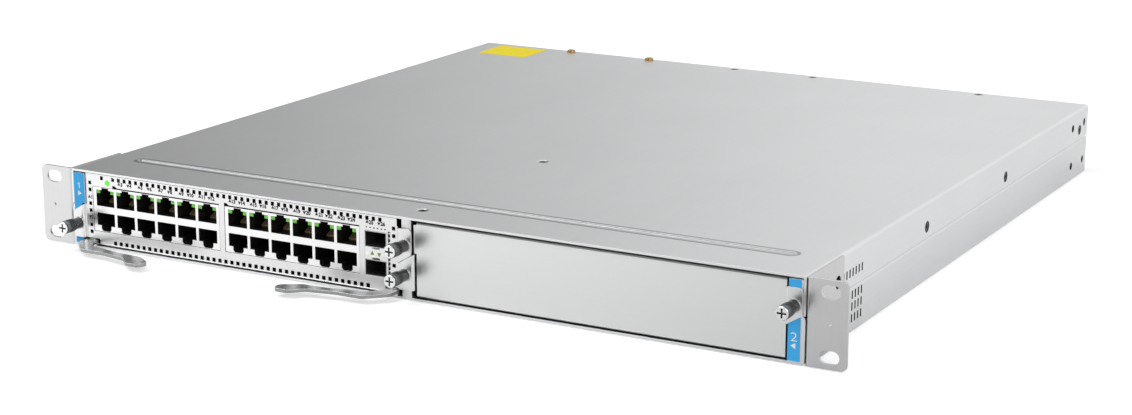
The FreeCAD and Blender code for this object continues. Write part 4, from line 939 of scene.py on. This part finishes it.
def arrow(x, z, width, turn):
    """Triangle with its tip turned by an angle from the right, as points and one face."""
    angles = np.radians(turn + np.array([0.0, 120.0, 240.0]))
    reach = TIP_REACH * width
    return np.stack([x + reach * np.cos(angles), z + reach * np.sin(angles)], axis=1), [[0, 1, 2]]


def slot_one(x, z, height):
    """The figure one: an upright bar with a slanted flag, as points and faces."""
    bar = [(-0.02, -0.36), (0.12, -0.36), (0.12, 0.36), (-0.02, 0.36)]
    flag = [(-0.24, 0.2), (-0.17, 0.1), (-0.02, 0.2)]
    return np.array(bar + flag) * height + np.array([x, z]), [[0, 1, 2, 3, 6], [3, 4, 5, 6]]


def slot_two(x, z, height, weight=-0.012, widen=1.3):
    """The figure two, wider than a port number and with thinner strokes for its size."""
    points, faces = figure("2", x, z, height, weight)
    points[:, 0] = x + (points[:, 0] - x) * widen
    return points, faces


def figure(word, x, z, height, weight):
    """Digits as flat shapes of a height, centred at a place, as points and faces."""
    curve = bpy.data.curves.new("figure", "FONT")
    curve.body = word
    curve.resolution_u = 3
    curve.offset = weight
    maker = bpy.data.objects.new("figure", curve)
    mesh = bpy.data.meshes.new_from_object(maker)
    places = read_places(mesh)[:, :2]
    low, high = places.min(axis=0), places.max(axis=0)
    places = (places - (low + high) / 2) * height / (high[1] - low[1]) + np.array([x, z])
    faces = [list(face.vertices) for face in mesh.polygons]
    bpy.data.objects.remove(maker)
    bpy.data.curves.remove(curve)
    bpy.data.meshes.remove(mesh)
    return places, faces


def printed(name, shapes, level, ink, node, settings):
    """One piece of flat shapes just in front of a face, riding with the node that carries it."""
    points, faces = [], []
    for places, rings in shapes:
        faces += [[len(points) + i for i in ring] for ring in rings]
        points += [(x, level - settings.film, z) for x, z in places]
    piece = piece_from(name, np.array(points), faces, slot_of(node), body_of(node))
    piece.data.materials[0] = finishes[ink]


# Studio

FLOOR_GAP = 0.5 * MM  # the floor lies this far under the case
FLOOR_MIDDLE = 0.2
FLOOR_RADII = np.array([0.0, 0.5, 1.5, 6.0])
CARD_RADIUS = 3.2
CARD_HEIGHTS = np.array([0.02, 3.0])

# The metal sees the floor fade from left to right, and less so behind its front edge
FADE_X = {"From Min": -0.3, "From Max": 0.25}
FADE_Y = {"From Min": 0.1, "From Max": -0.02}
FADE_BEHIND = 0.62

# Area lights: name, place, size and share of the key light's power
LIGHTS = (("key", (-1.3, -1.0, 2.6), 1.8, 1.0), ("fill", (1.8, -1.0, 1.2), 1.2, 0.25))
LIT_PLACE = (0, 0.2, 0)

# Camera of the photograph, in degrees and metres
AZIMUTH, ELEVATION, ROLL = 28.801, 14.337, 0.199
CAMERA_TARGET = np.array([-17.61, 200.0, 2.224]) * MM
CAMERA_DISTANCE = 1364.012 * MM


class CHASSIS_OT_studio(bpy.types.Operator):
    """Floor, soft lights, reflection cards and the camera"""

    bl_idname = "chassis.studio"
    bl_label = "Studio"

    def execute(self, context):
        settings = context.scene.stage_settings
        scene = context.scene
        scene.view_settings.view_transform = "Standard"
        build_floor(settings)
        back = graded_card(1, (-50, -16), (settings.card_dark, settings.card_light))
        front = graded_card(-1, (-42, -14), (1.0, settings.front_dark))
        build_card("back_card", 1, (-80, 0), back)
        build_card("front_card", -1, (-75, 30), front)
        build_world(scene, settings)
        build_lights(settings)
        build_camera(scene, settings)
        return {"FINISHED"}


def paper_floor(settings):
    """Seamless white paper: matt, with a faint tooth, and lifted to white where it is seen.

    It keeps the shadow. The metal sees it greyer towards the right, as it would see the unlit end
    of the studio.
    """
    material, tree, shader = blank_material("White paper floor", Roughness=0.95, Emission_Color=grey(1.0))
    tooth = grain(tree, PAPER_TOOTH)
    stops = ((0.3, linear("DCDCDC")), (0.7, linear("E4E4E4")))
    rays = add(tree, "LightPath").outputs
    seen = {0: rays["Is Camera Ray"], 1: settings.floor_glow}
    direct = add(tree, "Math", seen, operation="MULTIPLY")
    mirrors = {0: rays["Is Glossy Ray"], 1: rays["Is Transmission Ray"]}
    mirrored = add(tree, "Math", mirrors, operation="MAXIMUM")
    place = object_place(tree)
    right = add(tree, "MapRange", {"Value": place["X"], **FADE_X})
    ahead = add(tree, "MapRange", {"Value": place["Y"], **FADE_Y, "To Min": FADE_BEHIND})
    dim = add(tree, "Math", {0: right, 1: ahead}, operation="MULTIPLY")
    grade = add(tree, "MapRange", {"Value": dim, "To Min": settings.floor_shine, "To Max": 0.0})
    shine = add(tree, "Math", {0: mirrored, 1: grade}, operation="MULTIPLY")
    feed(shader, {
        "Base Color": add(tree, "ValToRGB", {"Fac": tooth}, stops),
        "Emission Strength": add(tree, "Math", {0: direct, 1: shine}, operation="ADD"),
    })
    return material


def graded_card(facing, turns, levels):
    """Reflection card whose strength changes slowly along its arc, which gives flat metal its slow gradient.

    The level runs from the first to the second between the two turns, in degrees from straight behind
    the switch or straight in front of it. The camera looks through the card, so that none stands in
    the way of a view from another side.
    """
    material = bpy.data.materials.new("Graded reflection card")
    material.use_nodes = True
    tree = material.node_tree
    tree.nodes.clear()
    place = object_place(tree)
    deep = add(tree, "Math", {0: place["Y"], 1: facing}, operation="MULTIPLY")
    turn = add(tree, "Math", {0: place["X"], 1: deep}, operation="ARCTAN2")
    first, last = (math.radians(angle) for angle in turns)
    limits = {"From Min": first, "From Max": last, "To Min": levels[0], "To Max": levels[1]}
    grade = add(tree, "MapRange", {"Value": turn, **limits})
    glow = add(tree, "Emission", {"Strength": grade})
    clear = add(tree, "BsdfTransparent")
    camera = add(tree, "LightPath").outputs["Is Camera Ray"]
    both = add(tree, "MixShader", {0: camera, 1: glow, 2: clear})
    add(tree, "OutputMaterial", {"Surface": both})
    return material


def stage_surface(name, points, material):
    """Open grid of points joined into quads, as a piece of the studio."""
    rows, columns = points.shape[:2]
    index = np.arange(rows * columns).reshape(rows, columns)
    quads = np.stack([index[:-1, :-1], index[1:, :-1], index[1:, 1:], index[:-1, 1:]], axis=-1)
    mesh = bpy.data.meshes.new(name)
    mesh.from_pydata(points.reshape(-1, 3).tolist(), [], quads.reshape(-1, 4).tolist())
    made = bpy.data.objects.new(name, mesh)
    bpy.context.scene.collection.objects.link(made)
    made.data.materials.append(material)


def build_floor(settings):
    """A flat disc under the switch, large enough to fill the view: rings of points about its middle."""
    turns = np.linspace(0, 2 * math.pi, 65)
    level = np.full((len(FLOOR_RADII), len(turns)), CAD_BOX_LOW - FLOOR_GAP)
    across = np.outer(FLOOR_RADII, np.cos(turns))
    along = FLOOR_MIDDLE + np.outer(FLOOR_RADII, np.sin(turns))
    stage_surface("floor", np.stack([across, along, level], axis=-1), paper_floor(settings))


def build_card(name, facing, ends, material):
    """Upright sheet bent round the switch: a part of a cylinder between two angles, behind it or in front."""
    turns = np.radians(np.linspace(*ends, 33))
    rows = np.ones((len(CARD_HEIGHTS), 1))
    across = rows * CARD_RADIUS * np.sin(turns)
    deep = rows * facing * CARD_RADIUS * np.cos(turns)
    level = np.repeat(CARD_HEIGHTS[:, None], len(turns), axis=1)
    stage_surface(name, np.stack([across, deep, level], axis=-1), material)


def build_world(scene, settings):
    """Even room light; the camera, mirrors and glass see plain white."""
    world = bpy.data.worlds.new("Studio")
    world.use_nodes = True
    scene.world = world
    tree = world.node_tree
    tree.nodes.clear()
    rays = add(tree, "LightPath").outputs
    direct = {0: rays["Is Camera Ray"], 1: rays["Is Glossy Ray"]}
    sight = add(tree, "Math", direct, operation="MAXIMUM")
    seen = add(tree, "Math", {0: sight, 1: rays["Is Transmission Ray"]}, operation="MAXIMUM")
    room = add(tree, "Background", {"Color": grey(1.0), "Strength": settings.world})
    white = add(tree, "Background", {"Color": grey(1.0), "Strength": 1.0})
    mix = add(tree, "MixShader", {0: seen, 1: room, 2: white})
    add(tree, "OutputWorld", {"Surface": mix})


def aimed(name, data, place, target):
    """Object at a place that looks at a target."""
    made = bpy.data.objects.new(name, data)
    bpy.context.scene.collection.objects.link(made)
    made.location = place
    made.rotation_euler = (Vector(target) - Vector(place)).to_track_quat("-Z", "Y").to_euler()
    return made


def build_lights(settings):
    """A large key light at the upper left and a weak fill at the right."""
    for name, place, size, share in LIGHTS:
        data = bpy.data.lights.new(name, "AREA")
        data.size = size
        data.energy = settings.key * share
        aimed(name, data, place, LIT_PLACE)


def build_camera(scene, settings):
    """Camera at the photograph's angle, with its small roll."""
    azimuth, elevation = math.radians(AZIMUTH), math.radians(ELEVATION)
    level = math.cos(elevation)
    back = np.array([math.sin(azimuth) * level, -math.cos(azimuth) * level, math.sin(elevation)])
    data = bpy.data.cameras.new("camera")
    data.sensor_width = 36.0
    data.sensor_fit = "HORIZONTAL"
    data.lens = settings.lens
    data.clip_start = 0.01
    camera = aimed("camera", data, CAMERA_TARGET + back * CAMERA_DISTANCE, CAMERA_TARGET)
    camera.rotation_euler.rotate_axis("Z", math.radians(ROLL))
    scene.camera = camera


class CHASSIS_PT_looks(bpy.types.Panel):
    """Lists the steps that dress the switch"""

    bl_idname = "CHASSIS_PT_looks"
    bl_label = "Chassis switch"
    bl_space_type = "VIEW_3D"
    bl_region_type = "UI"
    bl_category = "Chassis switch"

    def draw(self, context):
        for group in (getattr(context.scene, name) for name in GROUPS):
            for key in group.bl_rna.properties.keys():
                if key not in ("rna_type", "name"):
                    self.layout.prop(group, key)
        for step in STEPS:
            self.layout.operator(step.bl_idname)


STEPS = (
    CHASSIS_OT_finish_nodes,
    CHASSIS_OT_port_wires,
    CHASSIS_OT_gasket_fingers,
    CHASSIS_OT_knob_knurls,
    CHASSIS_OT_printed_marks,
    CHASSIS_OT_studio,
)
GROUPS = {
    "finish_settings": FINISH_PG_settings,
    "wire_settings": WIRE_PG_settings,
    "knurl_settings": KNURL_PG_settings,
    "mark_settings": MARK_PG_settings,
    "stage_settings": STAGE_PG_settings,
}


def register():
    """Register the settings, steps and panel."""
    for part in (*GROUPS.values(), *STEPS, CHASSIS_PT_looks):
        bpy.utils.register_class(part)
    for name, group in GROUPS.items():
        setattr(bpy.types.Scene, name, PointerProperty(type=group))


def unregister():
    """Take the settings, steps and panel away again."""
    for name in GROUPS:
        delattr(bpy.types.Scene, name)
    for part in (CHASSIS_PT_looks, *STEPS[::-1], *GROUPS.values()):
        bpy.utils.unregister_class(part)


def main():
    """Run every step in order."""
    register()
    for step in STEPS:
        space, action = step.bl_idname.split(".")
        getattr(getattr(bpy.ops, space), action)()


if __name__ == "__main__":
    main()
